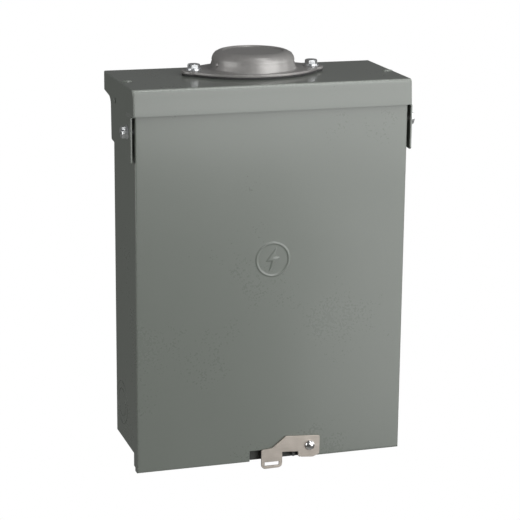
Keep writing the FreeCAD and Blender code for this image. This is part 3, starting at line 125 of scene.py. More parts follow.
finishes = {
    # baked enamel on galvanised sheet: semi-gloss, even, faint orange peel about 1.6 mm across
    # the paler c4cac3 is a painted highlight laid along the hood's front fold
    "grey_enamel": finish("bakedGreyEnamel", "6f746e", "717670", roughness=(0.272, 0.281), grain=1.6,
                          patch=70, rise=0.005, coat=0.3, coatRoughness=0.14, mottle=0.35, paintedHighlight="c4cac3"),
    # the same enamel inside, thinner and duller
    "inner_enamel": finish("bakedInnerEnamel", "7f847e", "878c86", roughness=(0.36, 0.46), grain=1.6,
                           patch=50, rise=0.006),
    # die-cast zinc under thin grey paint: softer edges, slight casting ripple
    "cast_cap": finish("paintedZincCasting", "989694", "a6a4a2", metallic=0.35, roughness=(0.34, 0.45),
                       grain=2.4, patch=14, rise=0.03, coat=0.15, speck="b0aeac", speckSize=2.5),
    # moulded neoprene sheet: matt, worn to dark grey
    "gasket": finish("neopreneGasket", "3a3a3a", "464646", roughness=(0.7, 0.85), grain=0.9, patch=20,
                     rise=0.02),
    # bright zinc with clear chromate: slightly blue, patchy
    "zinc_steel": finish("brightZincPlate", "cdd0d3", "e9eaea", metallic=0.85, roughness=(0.26, 0.4),
                         grain=0.7, patch=6, rise=0.008, speck="8e8f8c", speckSize=1.4),
    # tumbled stainless rivet: nearly a mirror, a little hazy
    "polished_steel": finish("tumbledStainless", "d8d8d8", "ececec", metallic=1.0, roughness=(0.1, 0.16),
                             grain=0.9, patch=4, rise=0.003),
    # cold-rolled stainless strip: fine straight grain along the plate
    "stainless": finish("rolledStainless", "b3aba2", "c6beb5", metallic=0.75, roughness=(0.4, 0.5), grain=1.2,
                        patch=9, rise=0.006, stretch=(0.08, 1, 1)),
    # hot-dip zinc: spangle about 8 mm across, dull
    "galvanised": finish("galvanisedSheet", "8f9495", "b4b8b8", metallic=0.9, roughness=(0.38, 0.55),
                         grain=4.0, patch=9, rise=0.008, mottle=0.5),
    # dark, matt steel for the keeper: its dark tone is partly painted shade for the recess behind the cover's
    # cut-out
    "shadedKeeper": finish("shadedKeeperSteel", "3a3b3a", "4a4b49", metallic=0.4, roughness=(0.5, 0.65),
                         grain=0.8, patch=8, rise=0.01),
    # tin plate on extruded aluminium: pale, soft shine
    "tinned_aluminium": finish("tinPlatedAluminium", "b3b4b2", "cfcfcc", metallic=1.0, roughness=(0.28, 0.42),
                               grain=0.9, patch=12, rise=0.01, speck="999a98", speckSize=2.0),
    # rolled copper: warm, with darker tarnished spots
    "copper": finish("rolledCopper", "a5603c", "c9835a", metallic=1.0, roughness=(0.28, 0.42), grain=1.0,
                     patch=8, rise=0.008, speck="7a4630", speckSize=2.0),
    # phenolic moulding: nearly black, matt, with faint flow marks
    "breaker_case": finish("mouldedPhenolic", "191a1b", "222324", roughness=(0.42, 0.6), grain=0.8, patch=18,
                           rise=0.015, speck="2c2d2e", speckSize=1.5),
    # nylon moulding: black, a little glossier than the cases
    "breaker_handle": finish("mouldedNylon", "121212", "1a1a1b", roughness=(0.32, 0.45), grain=0.8, patch=10,
                             rise=0.01),
    # glass-filled polyester: dark grey, matt, with pale fibre specks
    "moulded_support": finish("mouldedPolyester", "2f3234", "3b3e40", roughness=(0.45, 0.6), grain=1.0,
                              patch=24, rise=0.02, speck="45494b", speckSize=1.6),
}

# Which nodes have which finish; all the others are bright zinc.
slotNodes = {
    "grey_enamel": ["enclosure_box", "rain_hood", "front_cover", "hood_rivets"],
    "inner_enamel": ["dead_front"],
    "cast_cap": ["hub_closing_cap"],
    "gasket": ["hub_gasket"],
    "stainless": ["latch_plate", "latch_rivet"],
    "galvanised": ["interior_pan", "breaker_rail_left", "breaker_rail_right", "dead_front_bracket_left",
                   "dead_front_bracket_right", "cover_keeper"],
    "tinned_aluminium": ["line_bus_a", "line_bus_b", "line_lug_a", "line_lug_b", "neutral_bar", "ground_bar",
                         "bonding_strap"],
    "copper": ["breaker_stab_jaws"],
    "breaker_case": [f"breaker_{n}_case" for n in range(1, 7)],
    "breaker_handle": [f"breaker_{n}_handle" for n in range(1, 7)] + ["handle_tie"],
    "moulded_support": ["bus_support", "neutral_insulators"],
}
slotOf = {node: slot for slot, nodes in slotNodes.items() for node in nodes}
bodyOf = {node: body for body, nodes in frame["record"]["behaviour"]["bodies"].items() for node in nodes}


def slotFor(node):
    return slotOf.get(node, "zinc_steel")


for node, thing in frame["nodes"].items():
    thing.data.materials.clear()
    thing.data.materials.append(finishes[slotFor(node)])


ground = {"half": 30.0, "height": -1.2, "colour": "b9b9b6"}  # in metres, well below the hanging box


# The floor: white to the camera, pale grey to everything that it lights.
def stage():
    floorMesh = bpy.data.meshes.new("floor")
    shape = bmesh.new()
    bmesh.ops.create_grid(shape, x_segments=1, y_segments=1, size=ground["half"],
                          matrix=Matrix.Translation((0, 0, ground["height"])))
    shape.to_mesh(floorMesh)
    shape.free()
    floor = bpy.data.objects.new("floor", floorMesh)
    bpy.context.scene.collection.objects.link(floor)
    material = bpy.data.materials.new("paleFloor")
    material.use_nodes = True
    tree = material.node_tree
    tree.nodes.clear()
    seen = addNode(tree, "ShaderNodeLightPath").outputs["Is Camera Ray"]
    pale = addNode(tree, "ShaderNodeBsdfDiffuse", {"Color": linear(ground["colour"])})
    white = addNode(tree, "ShaderNodeEmission", {"Color": (1, 1, 1, 1), "Strength": 1.0})
    both = addNode(tree, "ShaderNodeMixShader", links={0: seen, 1: pale.outputs[0], 2: white.outputs[0]})
    addNode(tree, "ShaderNodeOutputMaterial", links={"Surface": both.outputs[0]})
    floorMesh.materials.append(material)


lighting = {"room": 0.15, "roomSeen": 1.0}  # the room's strength as light, and as the camera sees it
lamps = [
    # name, place, aims at, width, height, watts; all in metres
    ("key", (0.58, -1.01, 0.29), (0.0, -0.1, 0.09), 1.25, 0.9, 11.8),
    ("fill", (-1.45, -0.25, 0.13), (0.0, -0.05, 0.0), 1.1, 0.9, 8.5),
    ("above", (0.38, -0.78, 1.15), (0.0, -0.1, 0.17), 0.35, 1.0, 4.5),
    ("low", (0.72, -1.05, -0.4), (0.0, -0.1, -0.1), 0.7, 0.4, 1.9),
    ("edge", (1.1, -0.2, 0.1), (0.11, -0.09, 0.0), 0.3, 0.9, 2.0),
]


def studio():
    world = bpy.data.worlds.new("room")
    world.use_nodes = True
    bpy.context.scene.world = world
    tree = world.node_tree
    tree.nodes.clear()
    seen = addNode(tree, "ShaderNodeLightPath").outputs["Is Camera Ray"]
    strength = addNode(tree, "ShaderNodeMapRange", {3: lighting["room"], 4: lighting["roomSeen"]}, {0: seen})
    glow = addNode(tree, "ShaderNodeBackground", {"Color": (1, 1, 1, 1)}, {"Strength": strength.outputs[0]})
    addNode(tree, "ShaderNodeOutputWorld", links={"Surface": glow.outputs[0]})
    for name, place, aim, width, height, watts in lamps:
        light = bpy.data.lights.new(name, "AREA")
        light.shape = "RECTANGLE"
        light.size, light.size_y, light.energy = width, height, watts
        lamp = bpy.data.objects.new(name, light)
        lamp.location = place
        lamp.rotation_euler = (Vector(aim) - Vector(place)).to_track_quat("-Z", "Y").to_euler()
        lamp.visible_camera = False
        bpy.context.scene.collection.objects.link(lamp)


camera = {"place": (-0.44306, -1.46653, 0.39710), "turn": 17.506, "down": 14.891, "roll": 0.548,
          "lens": 130.54, "sensor": 36.0, "near": 0.05, "far": 100.0}


def cameraSetUp():
    data = bpy.data.cameras.new("camera")
    data.lens, data.sensor_width = camera["lens"], camera["sensor"]
    data.clip_start, data.clip_end = camera["near"], camera["far"]
    made = bpy.data.objects.new("camera", data)
    aim = (Matrix.Rotation(math.radians(-camera["turn"]), 4, "Z")
           @ Matrix.Rotation(math.radians(90 - camera["down"]), 4, "X")
           @ Matrix.Rotation(math.radians(camera["roll"]), 4, "Z"))
    made.matrix_world = Matrix.Translation(camera["place"]) @ aim
    bpy.context.scene.collection.objects.link(made)
    bpy.context.scene.camera = made


stage()
studio()
cameraSetUp()
bpy.context.scene.view_settings.view_transform = "Standard"
print("stage, lights and camera set")


def vec(*places):
    return Vector(places)


# A piece from a shape in mm: smooth shaded, riding its node's body and standing for that node.
def finishPiece(name, shape, node, sharpAngle=32, material=None):
    bmesh.ops.scale(shape, vec=(mm, mm, mm), verts=shape.verts)
    mesh = bpy.data.meshes.new(name)
    shape.to_mesh(mesh)
    shape.free()
    mesh.shade_smooth()
    mesh.set_sharp_from_angle(angle=math.radians(sharpAngle))
    slot = slotFor(node)
    mesh.materials.append(material or finishes[slot])
    piece = bpy.data.objects.new(name, mesh)
    bpy.context.scene.collection.objects.link(piece)
    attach(piece, bodyOf[node])
    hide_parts(node)
    return piece


# Cuts one closed shape with another, or joins them.
def combined(target, tool, operation="DIFFERENCE"):
    holders = []
    for shape in (target, tool):
        mesh = bpy.data.meshes.new("shape")
        shape.to_mesh(mesh)
        shape.free()
        holder = bpy.data.objects.new("shape", mesh)
        bpy.context.scene.collection.objects.link(holder)
        holders.append(holder)
    change = holders[0].modifiers.new("combine", "BOOLEAN")
    change.operation, change.solver, change.object = operation, "EXACT", holders[1]
    result = bmesh.new()
    result.from_object(holders[0], bpy.context.evaluated_depsgraph_get())
    for holder in holders:
        mesh = holder.data
        bpy.data.objects.remove(holder)
        bpy.data.meshes.remove(mesh)
    return result


# A block between two corners in mm, as all the shapes below are.
def slab(shape, low, high):
    low, high = Vector(low), Vector(high)
    size = high - low
    return bmesh.ops.create_cube(shape, size=1.0, matrix=Matrix.Translation((low + high) / 2)
                                 @ Matrix.Diagonal((size.x, size.y, size.z, 1)))["verts"]


# The turn that lays +Z along an axis.
def towards(axis):
    return Vector(axis).to_track_quat("Z", "Y").to_matrix().to_4x4()


# A cylinder, cone or prism from a start point along an axis.
def barrel(shape, start, axis, length, radius, tip=None, segments=48):
    axis = Vector(axis).normalized()
    return bmesh.ops.create_cone(shape, cap_ends=True, segments=segments, radius1=radius,
                                 radius2=radius if tip is None else tip, depth=length,
                                 matrix=Matrix.Translation(Vector(start) + axis * length / 2)
                                 @ towards(axis))["verts"]


# A profile of (radius, height) turned round an axis.
def turnedShape(shape, profile, start, axis, steps=64):
    verts = [bmesh.ops.create_vert(shape, co=(radius, 0, height))["vert"][0] for radius, height in profile]
    edges = [shape.edges.new(pair) for pair in zip(verts, verts[1:])]
    bmesh.ops.spin(shape, geom=verts + edges, cent=(0, 0, 0), axis=(0, 0, 1), angle=2 * math.pi,
                   steps=steps, use_merge=True)
    found = set(verts)
    grow = list(verts)
    while grow:
        for edge in grow.pop().link_edges:
            for vert in edge.verts:
                if vert not in found:
                    found.add(vert)
                    grow.append(vert)
    bmesh.ops.remove_doubles(shape, verts=list(found), dist=1e-4)
    verts = [vert for vert in found if vert.is_valid]
    bmesh.ops.transform(shape, matrix=Matrix.Translation(start) @ towards(axis), verts=verts)
    bmesh.ops.recalc_face_normals(shape, faces=list({face for vert in verts for face in vert.link_faces}))
    return verts


def roundEdges(shape, edges, radius, segments=3):
    if edges:
        bmesh.ops.bevel(shape, geom=edges, offset=radius, offset_type="OFFSET", segments=segments,
                        profile=0.5, affect="EDGES", material=-1, clamp_overlap=True)


def sharpEdges(shape, degrees=35):
    return [edge for edge in shape.edges
            if edge.is_manifold and edge.calc_face_angle(0) > math.radians(degrees)]


# A copy of a CAD node, in mm, with its triangles joined into faces.
def copyOf(node):
    shape = bmesh.new()
    shape.from_mesh(frame["nodes"][node].data)
    bmesh.ops.scale(shape, vec=(1 / mm, 1 / mm, 1 / mm), verts=shape.verts)
    bmesh.ops.remove_doubles(shape, verts=shape.verts, dist=0.004)
    bmesh.ops.dissolve_limit(shape, angle_limit=math.radians(0.4), verts=shape.verts, edges=shape.edges)
    return shape


# Softens a piece's edges and keeps its flat faces flat.
def softened(piece, width, angle=38):
    bevel = piece.modifiers.new("softEdges", "BEVEL")
    bevel.width, bevel.segments, bevel.limit_method = width * mm, 2, "ANGLE"
    bevel.angle_limit, bevel.miter_outer = math.radians(angle), "MITER_ARC"
    bevel.use_clamp_overlap = True
    normals = piece.modifiers.new("flatFaces", "WEIGHTED_NORMAL")
    normals.keep_sharp = True
    return piece


# Cuts a sheet along planes, so that it can bend between them.
def cutAlong(shape, axis, places):
    for place in places:
        point = [0, 0, 0]
        point["xyz".index(axis)] = place
        normal = [0, 0, 0]
        normal["xyz".index(axis)] = 1
        bmesh.ops.bisect_plane(shape, geom=shape.verts[:] + shape.edges[:] + shape.faces[:], dist=1e-5,
                               plane_co=point, plane_no=normal)


def smoothStep(low, high, value):
    t = min(max((value - low) / (high - low), 0.0), 1.0)
    return t * t * (3 - 2 * t)


def steps(low, high, gap):
    count = max(int(round((high - low) / gap)), 1)
    return [low + (high - low) * i / count for i in range(count + 1)]


# Gives an open sheet its thickness, on the side away from its normals.
def thicken(piece, metal, bevel=0.2):
    wall = piece.modifiers.new("sheet", "SOLIDIFY")
    wall.thickness, wall.offset, wall.use_even_offset = metal * mm, -1.0, True
    wall.use_quality_normals = True
    edge = piece.modifiers.new("softEdges", "BEVEL")
    edge.width, edge.segments, edge.limit_method, edge.angle_limit = bevel * mm, 2, "ANGLE", math.radians(50)
    normals = piece.modifiers.new("flatFaces", "WEIGHTED_NORMAL")
    normals.keep_sharp = True
    return piece


# The rain hood: one folded sheet with a front lip and two ears.
hood = {"metal": 1.1, "frontBend": 2.8, "sideBend": 1.0, "lip": 20.3, "lipFlare": 1.4,
        "skirt": 15.0, "skirtFall": 2.8, "skirtReach": 1.5, "sweep": 6.0,
        "earSetback": 2.4, "earDepth": 71.4, "earHeel": 51.0, "earToe": 57.1, "earCorner": 1.5,
        "joggle": 1.6, "joggleDepth": 20.0, "joggleBefore": 4, "joggleAfter": 1,
        "sag": 0.1, "sagLength": 45, "cellX": 9.0, "cellY": 5.0, "cellZ": 3.0}


def rainHood():
    low, high = boxOf("rain_hood")
    near = 0.05
    half = high.x - hood["joggle"]
    front, top = low.y, high.z
    earFront = front + hood["earSetback"]
    earRear = earFront + hood["earDepth"]
    lipBottom = top - hood["lip"]
    skirt = (earRear + hood["skirtReach"], top - hood["skirt"] - hood["skirtFall"])
    heel, toe = (earRear, top - hood["earHeel"]), (earFront, top - hood["earToe"])
    shape = bmesh.new()
    outline = [(front, top), (high.y, top), (high.y, top - hood["skirt"]), skirt, heel, toe,
               (earFront, lipBottom), (front, lipBottom)]
    side = shape.faces.new([shape.verts.new((-half, y, z)) for y, z in outline])
    made = bmesh.ops.extrude_face_region(shape, geom=[side])["geom"]
    bmesh.ops.translate(shape, vec=(half * 2, 0, 0),
                        verts=[v for v in made if isinstance(v, bmesh.types.BMVert)])
    bmesh.ops.recalc_face_normals(shape, faces=shape.faces)

    def across(y, z):
        return [e for e in shape.edges
                if all(abs(v.co.y - y) < near and abs(v.co.z - z) < near for v in e.verts)]

    roundEdges(shape, across(*skirt), hood["sweep"], 8)
    roundEdges(shape, across(*heel) + across(*toe), hood["earCorner"], 4)
    roundEdges(shape, across(front, top), hood["frontBend"], 8)
    folds = []
    for edge in shape.edges:
        a, b = edge.verts[0].co, edge.verts[1].co
        onSide = abs(a.x - b.x) < near and abs(abs(a.x) - half) < near
        onTop = all(v.co.z > top - hood["frontBend"] - near for v in edge.verts)
        onFront = all(v.co.y < front + near for v in edge.verts)
        reaches = all(v.co.y < high.y - near for v in edge.verts) or abs(a.z - b.z) < near
        if onSide and (onTop or onFront) and reaches:
            folds.append(edge)
    roundEdges(shape, folds, hood["sideBend"], 5)
    # the block's underside, back and ear fronts go, which leaves an open sheet
    shape.normal_update()
    inward = [f for f in shape.faces if f.normal.z < -0.05 or f.normal.y > 0.05
              or (f.normal.y < -0.9 and f.calc_center_median().y > front + 1)]
    bmesh.ops.delete(shape, geom=inward, context="FACES")
    joggleRear = earFront + hood["joggleDepth"]
    joggleStart = joggleRear - hood["joggleBefore"]
    for axis, places in (("x", steps(-half + 6, half - 6, hood["cellX"])),
                         ("y", steps(front + 5, -5, hood["cellY"])),
                         ("y", steps(joggleStart, joggleRear + 2 * hood["joggleAfter"], 1.0)),
                         ("z", steps(toe[1] + 3, top - 6, hood["cellZ"])),
                         ("z", steps(lipBottom - 1.5, lipBottom + 0.7, 0.5))):
        cutAlong(shape, axis, places)
    for vert in shape.verts:
        x, y, z = vert.co
        # the lip leans out a little towards its lower edge
        nearFront = 1 - smoothStep(front, front + hood["frontBend"] + 1, y)
        vert.co.y -= hood["lipFlare"] * nearFront * smoothStep(top - hood["frontBend"], lipBottom, z)
        # the ears are set out round the pivot screws
        lowered = smoothStep(lipBottom + 0.6, lipBottom - 1.4, z)
        forward = 1 - smoothStep(joggleStart, joggleRear + hood["joggleAfter"], y)
        out = lowered * forward if abs(x) > half - 1 else 0
        vert.co.x += math.copysign(hood["joggle"] * out, x)
        # pressed sheet is never quite flat
        if z > top - 0.01:
            vert.co.z -= hood["sag"] * (0.5 + noise.noise(Vector((x, y, 3.0)) / hood["sagLength"]))
    # the front fold is marked for a painted highlight, which makes its enamel lighter there
    highlightMarks = shape.verts.layers.float.new("paintedFoldHighlight")
    for vert in shape.verts:
        down, back = top - vert.co.z, vert.co.y - front
        if down < hood["frontBend"] + 0.6 and back < hood["frontBend"] + 0.4:
            vert[highlightMarks] = smoothStep(-0.2, 1.6, back) * smoothStep(-0.4, 0.8, down)
    piece = finishPiece("rainHood", shape, "rain_hood")
    return thicken(piece, hood["metal"])


lance = {"inset": 5.2, "back": 41.0, "length": 9.5, "width": 2.4, "rise": 1.3, "sunk": 0.35, "foot": 0.6}


# Lanced ridges in the hood's top, which locate the box below.
def hoodLances():
    low, high = boxOf("rain_hood")
    shape = bmesh.new()
    for side in (-1, 1):
        centre = vec(side * (high.x - hood["joggle"] - lance["inset"]), low.y + lance["back"],
                     high.z - lance["sunk"])
        verts = bmesh.ops.create_uvsphere(shape, u_segments=24, v_segments=12, radius=1.0)["verts"]
        bmesh.ops.transform(shape, verts=verts, matrix=Matrix.Translation(centre) @ Matrix.Diagonal(
            (lance["length"] / 2, lance["width"] / 2, lance["rise"] + lance["sunk"], 1)))
        bmesh.ops.bisect_plane(shape, geom=shape.verts[:] + shape.edges[:] + shape.faces[:],
                               plane_co=(0, 0, high.z - lance["foot"]), plane_no=(0, 0, -1), clear_outer=True)
    bmesh.ops.holes_fill(shape, edges=shape.edges)
    return finishPiece("hoodLances", shape, "rain_hood")


rivet = {"radius": 2.3, "rise": 0.9, "rim": 0.25, "shank": 1.5, "depth": 2.0}


# Blind rivets through the hood's skirts: low domes with a small rim.
def hoodRivets():
    low, high = boxOf("hood_rivets")
    y, z = (low.y + high.y) / 2, (low.z + high.z) / 2
    profile = [(0, -rivet["depth"]), (rivet["shank"], -rivet["depth"]), (rivet["shank"], 0.0),
               (rivet["radius"], 0.0), (rivet["radius"], rivet["rim"])]
    profile += [(rivet["radius"] * math.cos(a), rivet["rim"] + (rivet["rise"] - rivet["rim"]) * math.sin(a))
                for a in [math.radians(t) for t in (15, 30, 45, 60, 75)]]
    profile += [(0, rivet["rise"])]
    shape = bmesh.new()
    for side in (-1, 1):
        turnedShape(shape, profile, vec(side * (high.x - rivet["rise"]), y, z), (side, 0, 0), 32)
    return finishPiece("hoodRivets", shape, "hood_rivets", sharpAngle=50)


# The front cover: a pan with a rolled edge, an embossed ring and a bolt.
cover = {"metal": 1.2, "bend": 1.3, "flange": 11.1, "crop": 4.0, "cropDepth": 4, "cropRise": 3,
         "cutTop": 9.5, "cutLeft": -17.7, "cutRight": 25.0, "tabReach": 6.5, "tabHalf": 16.0,
         "crown": 0.25, "wave": 0.1, "waveLength": 55, "cell": 11}
emblem = {"drop": 140.0, "radius": 14.0, "stroke": 1.4, "rise": 0.6, "edge": 0.45, "margin": 2, "cell": 0.4,
          "clear": 8}
bolt = [(0.20, 0.66), (-0.38, -0.08), (-0.04, -0.08), (-0.20, -0.66), (0.38, 0.10), (0.04, 0.10)]


# Signed distance in mm from a closed outline: negative inside.
def distanceTo(corners, x, z):
    inside, nearest = False, 1e9
    for (ax, az), (bx, bz) in zip(corners, corners[1:] + corners[:1]):
        along = ((x - ax) * (bx - ax) + (z - az) * (bz - az)) / ((bx - ax) ** 2 + (bz - az) ** 2)
        along = max(0, min(1, along))
        nearest = min(nearest, math.hypot(x - ax - along * (bx - ax), z - az - along * (bz - az)))
        if (az > z) != (bz > z) and x < (bx - ax) * (z - az) / (bz - az) + ax:
            inside = not inside
    return -nearest if inside else nearest


# How far the emblem stands out at a point of the cover.
def embossing(x, z):
    ringAt = abs(math.hypot(x, z) - emblem["radius"] + emblem["stroke"] / 2) - emblem["stroke"] / 2
    corners = [(a * emblem["radius"], b * emblem["radius"]) for a, b in bolt]
    away = min(ringAt, distanceTo(corners, x, z))
    return emblem["rise"] * (1 - smoothStep(-emblem["edge"], emblem["edge"], away))


def frontCover():
    low, high = boxOf("front_cover")
    near = 0.1
    face = low.y + emblem["rise"]
    rear = face + cover["flange"]
    shape = bmesh.new()
    slab(shape, (low.x, face, low.z), (high.x, rear, high.z))
    folds = []
    for edge in shape.edges:
        a, b = edge.verts[0].co, edge.verts[1].co
        atFront = a.y < face + near and b.y < face + near
        if atFront and (abs(a.x - b.x) < near or (a.z < low.z + near and b.z < low.z + near)):
            folds.append(edge)
    roundEdges(shape, folds, cover["bend"], 6)
    # the back and the top go, which leaves an open pan
    shape.normal_update()
    bmesh.ops.delete(shape, geom=[f for f in shape.faces if f.normal.y > 0.5 or f.normal.z > 0.5],
                     context="FACES")
    # a fine grid over the emblem and a coarse one round it
    middle = boxOf("rain_hood")[1].z - emblem["drop"]
    reach = emblem["radius"] + emblem["margin"]
    clear, cell = emblem["clear"], cover["cell"]
    cutTop = low.z + cover["cutTop"]
    cropTop, cropFront = low.z + cover["cropRise"], rear - cover["cropDepth"]
    cutAlong(shape, "x", steps(-reach, reach, emblem["cell"]) + steps(low.x + 5, -reach - clear, cell)
             + steps(reach + clear, high.x - 5, cell) + [cover["cutLeft"], cover["cutRight"],
                                                         low.x + cover["crop"], high.x - cover["crop"]])
    cutAlong(shape, "z", steps(middle - reach, middle + reach, emblem["cell"])
             + steps(low.z + 16, middle - reach - clear, cell)
             + steps(middle + reach + clear, high.z - 4, cell) + [cutTop, cropTop])
    cutAlong(shape, "y", [cropFront])
    # openings: the keeper's cut-out in the lower edge, and the cropped lower corners
    gone = []
    for part in shape.faces:
        x, y, z = part.calc_center_median()
        keeper = cover["cutLeft"] < x < cover["cutRight"] and z < cutTop
        crop = abs(x) > high.x - cover["crop"] and z < cropTop and y > cropFront
        if keeper or crop:
            gone.append(part)
    bmesh.ops.delete(shape, geom=gone, context="FACES")
    # hinge tabs: the side flange runs back behind the pivot screws
    screwLow, screwHigh = boxOf("cover_pivot_screws")
    pivotZ = (screwLow.z + screwHigh.z) / 2
    tabReach, tabHalf = cover["tabReach"], cover["tabHalf"]
    cutAlong(shape, "z", [pivotZ + t for t in (-tabHalf, -tabReach, tabReach, tabHalf)])
    ends = [e for e in shape.edges if e.is_boundary and all(
        v.co.y > rear - 0.01 and abs(v.co.x) > high.x - near and abs(v.co.z - pivotZ) < tabHalf + 0.01
        for v in e.verts)]
    made = bmesh.ops.extrude_edge_only(shape, edges=ends)["geom"]
    for vert in [v for v in made if isinstance(v, bmesh.types.BMVert)]:
        away = abs(vert.co.z - pivotZ)
        vert.co.y += (high.y - rear) * min(1, (tabHalf - away) / (tabHalf - tabReach))
    bmesh.ops.remove_doubles(shape, verts=shape.verts, dist=0.01)
    for vert in shape.verts:
        x, y, z = vert.co
        if y < face + 0.01:
            vert.co.y -= embossing(x, z - middle) if abs(x) < reach and abs(z - middle) < reach else 0
            across = (1 - (x / high.x) ** 2) * (1 - ((z - middle) / (high.z - middle + 20)) ** 2)
            vert.co.y -= cover["crown"] * max(across, 0)
            vert.co.y += cover["wave"] * noise.noise(Vector((x, 7.0, z)) / cover["waveLength"])
    piece = finishPiece("frontCover", shape, "front_cover", sharpAngle=50)
    return thicken(piece, cover["metal"])


# The hub closing cap: a die-cast dome on a lens-shaped flange, over a gasket.
hub = {"back": 60.0, "spacing": 98.0, "halfWidth": 35.5, "arc": 63.6, "end": 9.8, "clip": 0.35,
       "flange": 2.3, "flangeEdge": 0.6, "fillet": 1.6,
       "baseRadius": 34.4, "shoulderRadius": 32.9, "shoulder": 8.0, "ledge": 0.3,
       "discRadius": 24.5, "dish": 1.2, "dishWall": 1.0,
       "nubAngles": (-164.5, 15.5), "nubWidth": 1.8, "nubHeight": 4.0,
       "gasketInset": 0.4, "gasketEdge": 0.4}


# How far back the hub's middle is; it is always half way across.
def hubY():
    return boxOf("rain_hood")[0].y + hub["back"]


# The lens outline of the flange: two long arcs and two round ends, as a closed plate.
def lensPlate(bottom, top, shrink=0.0):
    endX = hub["spacing"] / 2
    arc, end = hub["arc"] - shrink, hub["end"] - shrink
    centreY = hub["arc"] - hub["halfWidth"]
    plate = bmesh.new()
    barrel(plate, (0, centreY, bottom), (0, 0, 1), top - bottom, arc, segments=256)
    other = bmesh.new()
    barrel(other, (0, -centreY, bottom - 1), (0, 0, 1), top - bottom + 2, arc, segments=256)
    plate = combined(plate, other, "INTERSECT")
    clip = bmesh.new()
    clipX = endX + end * hub["clip"]
    slab(clip, (-clipX, -60, bottom - 1), (clipX, 60, top + 1))
    plate = combined(plate, clip, "INTERSECT")
    for side in (-1, 1):
        disc = bmesh.new()
        barrel(disc, (side * endX, 0, bottom), (0, 0, 1), top - bottom, end, segments=64)
        plate = combined(plate, disc, "UNION")
    bmesh.ops.dissolve_limit(plate, angle_limit=math.radians(0.3), verts=plate.verts, edges=plate.edges)
    return plate


def hubCap():
    low, high = boxOf("hub_closing_cap")
    plateTop = low.z + hub["flange"]
    plate = lensPlate(low.z, plateTop)
    roundEdges(plate, sharpEdges(plate, 60), hub["flangeEdge"], 3)
    base, upper, shoulder, fillet = hub["baseRadius"], hub["shoulderRadius"], hub["shoulder"], hub["fillet"]
    top = high.z - plateTop
    profile = [(0, -1.0), (base + fillet, -1.0), (base + fillet, 0.02)]
    profile += [(base + fillet * (1 - math.sin(a)), fillet * (1 - math.cos(a)))
                for a in [math.radians(t) for t in (22, 45, 68, 90)]]
    profile += [(base - (base - upper) * t, fillet + (top - shoulder - fillet) * t) for t in (0.5, 1.0)]
    # the lower half of the shoulder stands a little proud, which leaves a fine ledge round it
    for reach, turns in ((shoulder + hub["ledge"], (6, 15, 24, 33, 42, 46)),
                         (shoulder, (47, 54, 63, 72, 81, 90))):
        profile += [(upper - shoulder + reach * math.cos(a), top - shoulder + reach * math.sin(a))
                    for a in [math.radians(t) for t in turns]]
    profile += [(hub["discRadius"], top), (hub["discRadius"] - hub["dishWall"], top - hub["dish"]),
                (0, top - hub["dish"])]
    dome = bmesh.new()
    turnedShape(dome, profile, (0, 0, plateTop), (0, 0, 1), steps=96)
    # two small pointer nubs at the dome's foot, each joined on its own so that none is lost
    nubRadius = hub["nubWidth"] / 2 + 0.5
    for angle in hub["nubAngles"]:
        a = math.radians(angle)
        foot = vec(math.cos(a) * (base - 0.9), math.sin(a) * (base - 0.9), plateTop + fillet + 1)
        nub = bmesh.new()
        bmesh.ops.create_uvsphere(nub, u_segments=16, v_segments=10, radius=1.0)
        bmesh.ops.transform(nub, verts=nub.verts,
                            matrix=Matrix.Translation(foot + vec(0, 0, hub["nubHeight"] / 2))
                            @ Matrix.Diagonal((nubRadius, nubRadius, hub["nubHeight"] / 2, 1)))
        dome = combined(dome, nub, "UNION")
    body = combined(plate, dome, "UNION")
    bmesh.ops.translate(body, vec=(0, hubY(), 0), verts=body.verts)
    piece = finishPiece("hubClosingCap", body, "hub_closing_cap", sharpAngle=40)
    normals = piece.modifiers.new("flatFaces", "WEIGHTED_NORMAL")
    normals.keep_sharp = True
    return piece


def hubGasket():
    low, high = boxOf("hub_gasket")
    plate = lensPlate(low.z, high.z, shrink=hub["gasketInset"])
    roundEdges(plate, sharpEdges(plate, 60), hub["gasketEdge"], 3)
    bmesh.ops.translate(plate, vec=(0, hubY(), 0), verts=plate.verts)
    return finishPiece("hubGasket", plate, "hub_gasket", sharpAngle=50)


# Hexagon washer-head screws with a driver slot.
head = {"hex": 5.1, "washer": 0.9, "slotWidth": 1.3, "slotDepth": 1.5, "dish": 0.4, "cornerCut": 2.6,
        "crown": 0.86, "crownInner": 0.62, "edge": 0.12}


# seat is where the washer face meets the part; turn is the slot's angle.
def hexHead(seat, axis, rise, turn, washerRadius):
    flat, washer = head["hex"], head["washer"]
    body = bmesh.new()
    barrel(body, (0, 0, washer * 0.5), (0, 0, 1), rise - washer * 0.5, flat, segments=6)
    crown = bmesh.new()
    turnedShape(crown, [(0, -1), (flat + 2, -1), (flat + 2, rise - head["cornerCut"]),
                        (flat * head["crown"], rise),
                        (flat * head["crownInner"], rise - head["dish"] * 0.2), (0, rise - head["dish"])],
                (0, 0, 0), (0, 0, 1), 48)
    body = combined(body, crown, "INTERSECT")
    slot = bmesh.new()
    slab(slot, (-flat - 1, -head["slotWidth"] / 2, rise - head["slotDepth"]),
         (flat + 1, head["slotWidth"] / 2, rise + 1))
    body = combined(body, slot)
    flange = bmesh.new()
    turnedShape(flange, [(0, 0), (washerRadius - 0.2, 0), (washerRadius, 0.25), (washerRadius - 0.15, washer),
                         (flat * 0.8, washer + 0.25), (0, washer + 0.25)], (0, 0, 0), (0, 0, 1), 48)
    body = combined(body, flange, "UNION")
    roundEdges(body, sharpEdges(body, 40), head["edge"], 1)
    bmesh.ops.transform(body, verts=body.verts, matrix=Matrix.Translation(seat) @ towards(axis)
                        @ Matrix.Rotation(math.radians(turn), 4, "Z"))
    return body


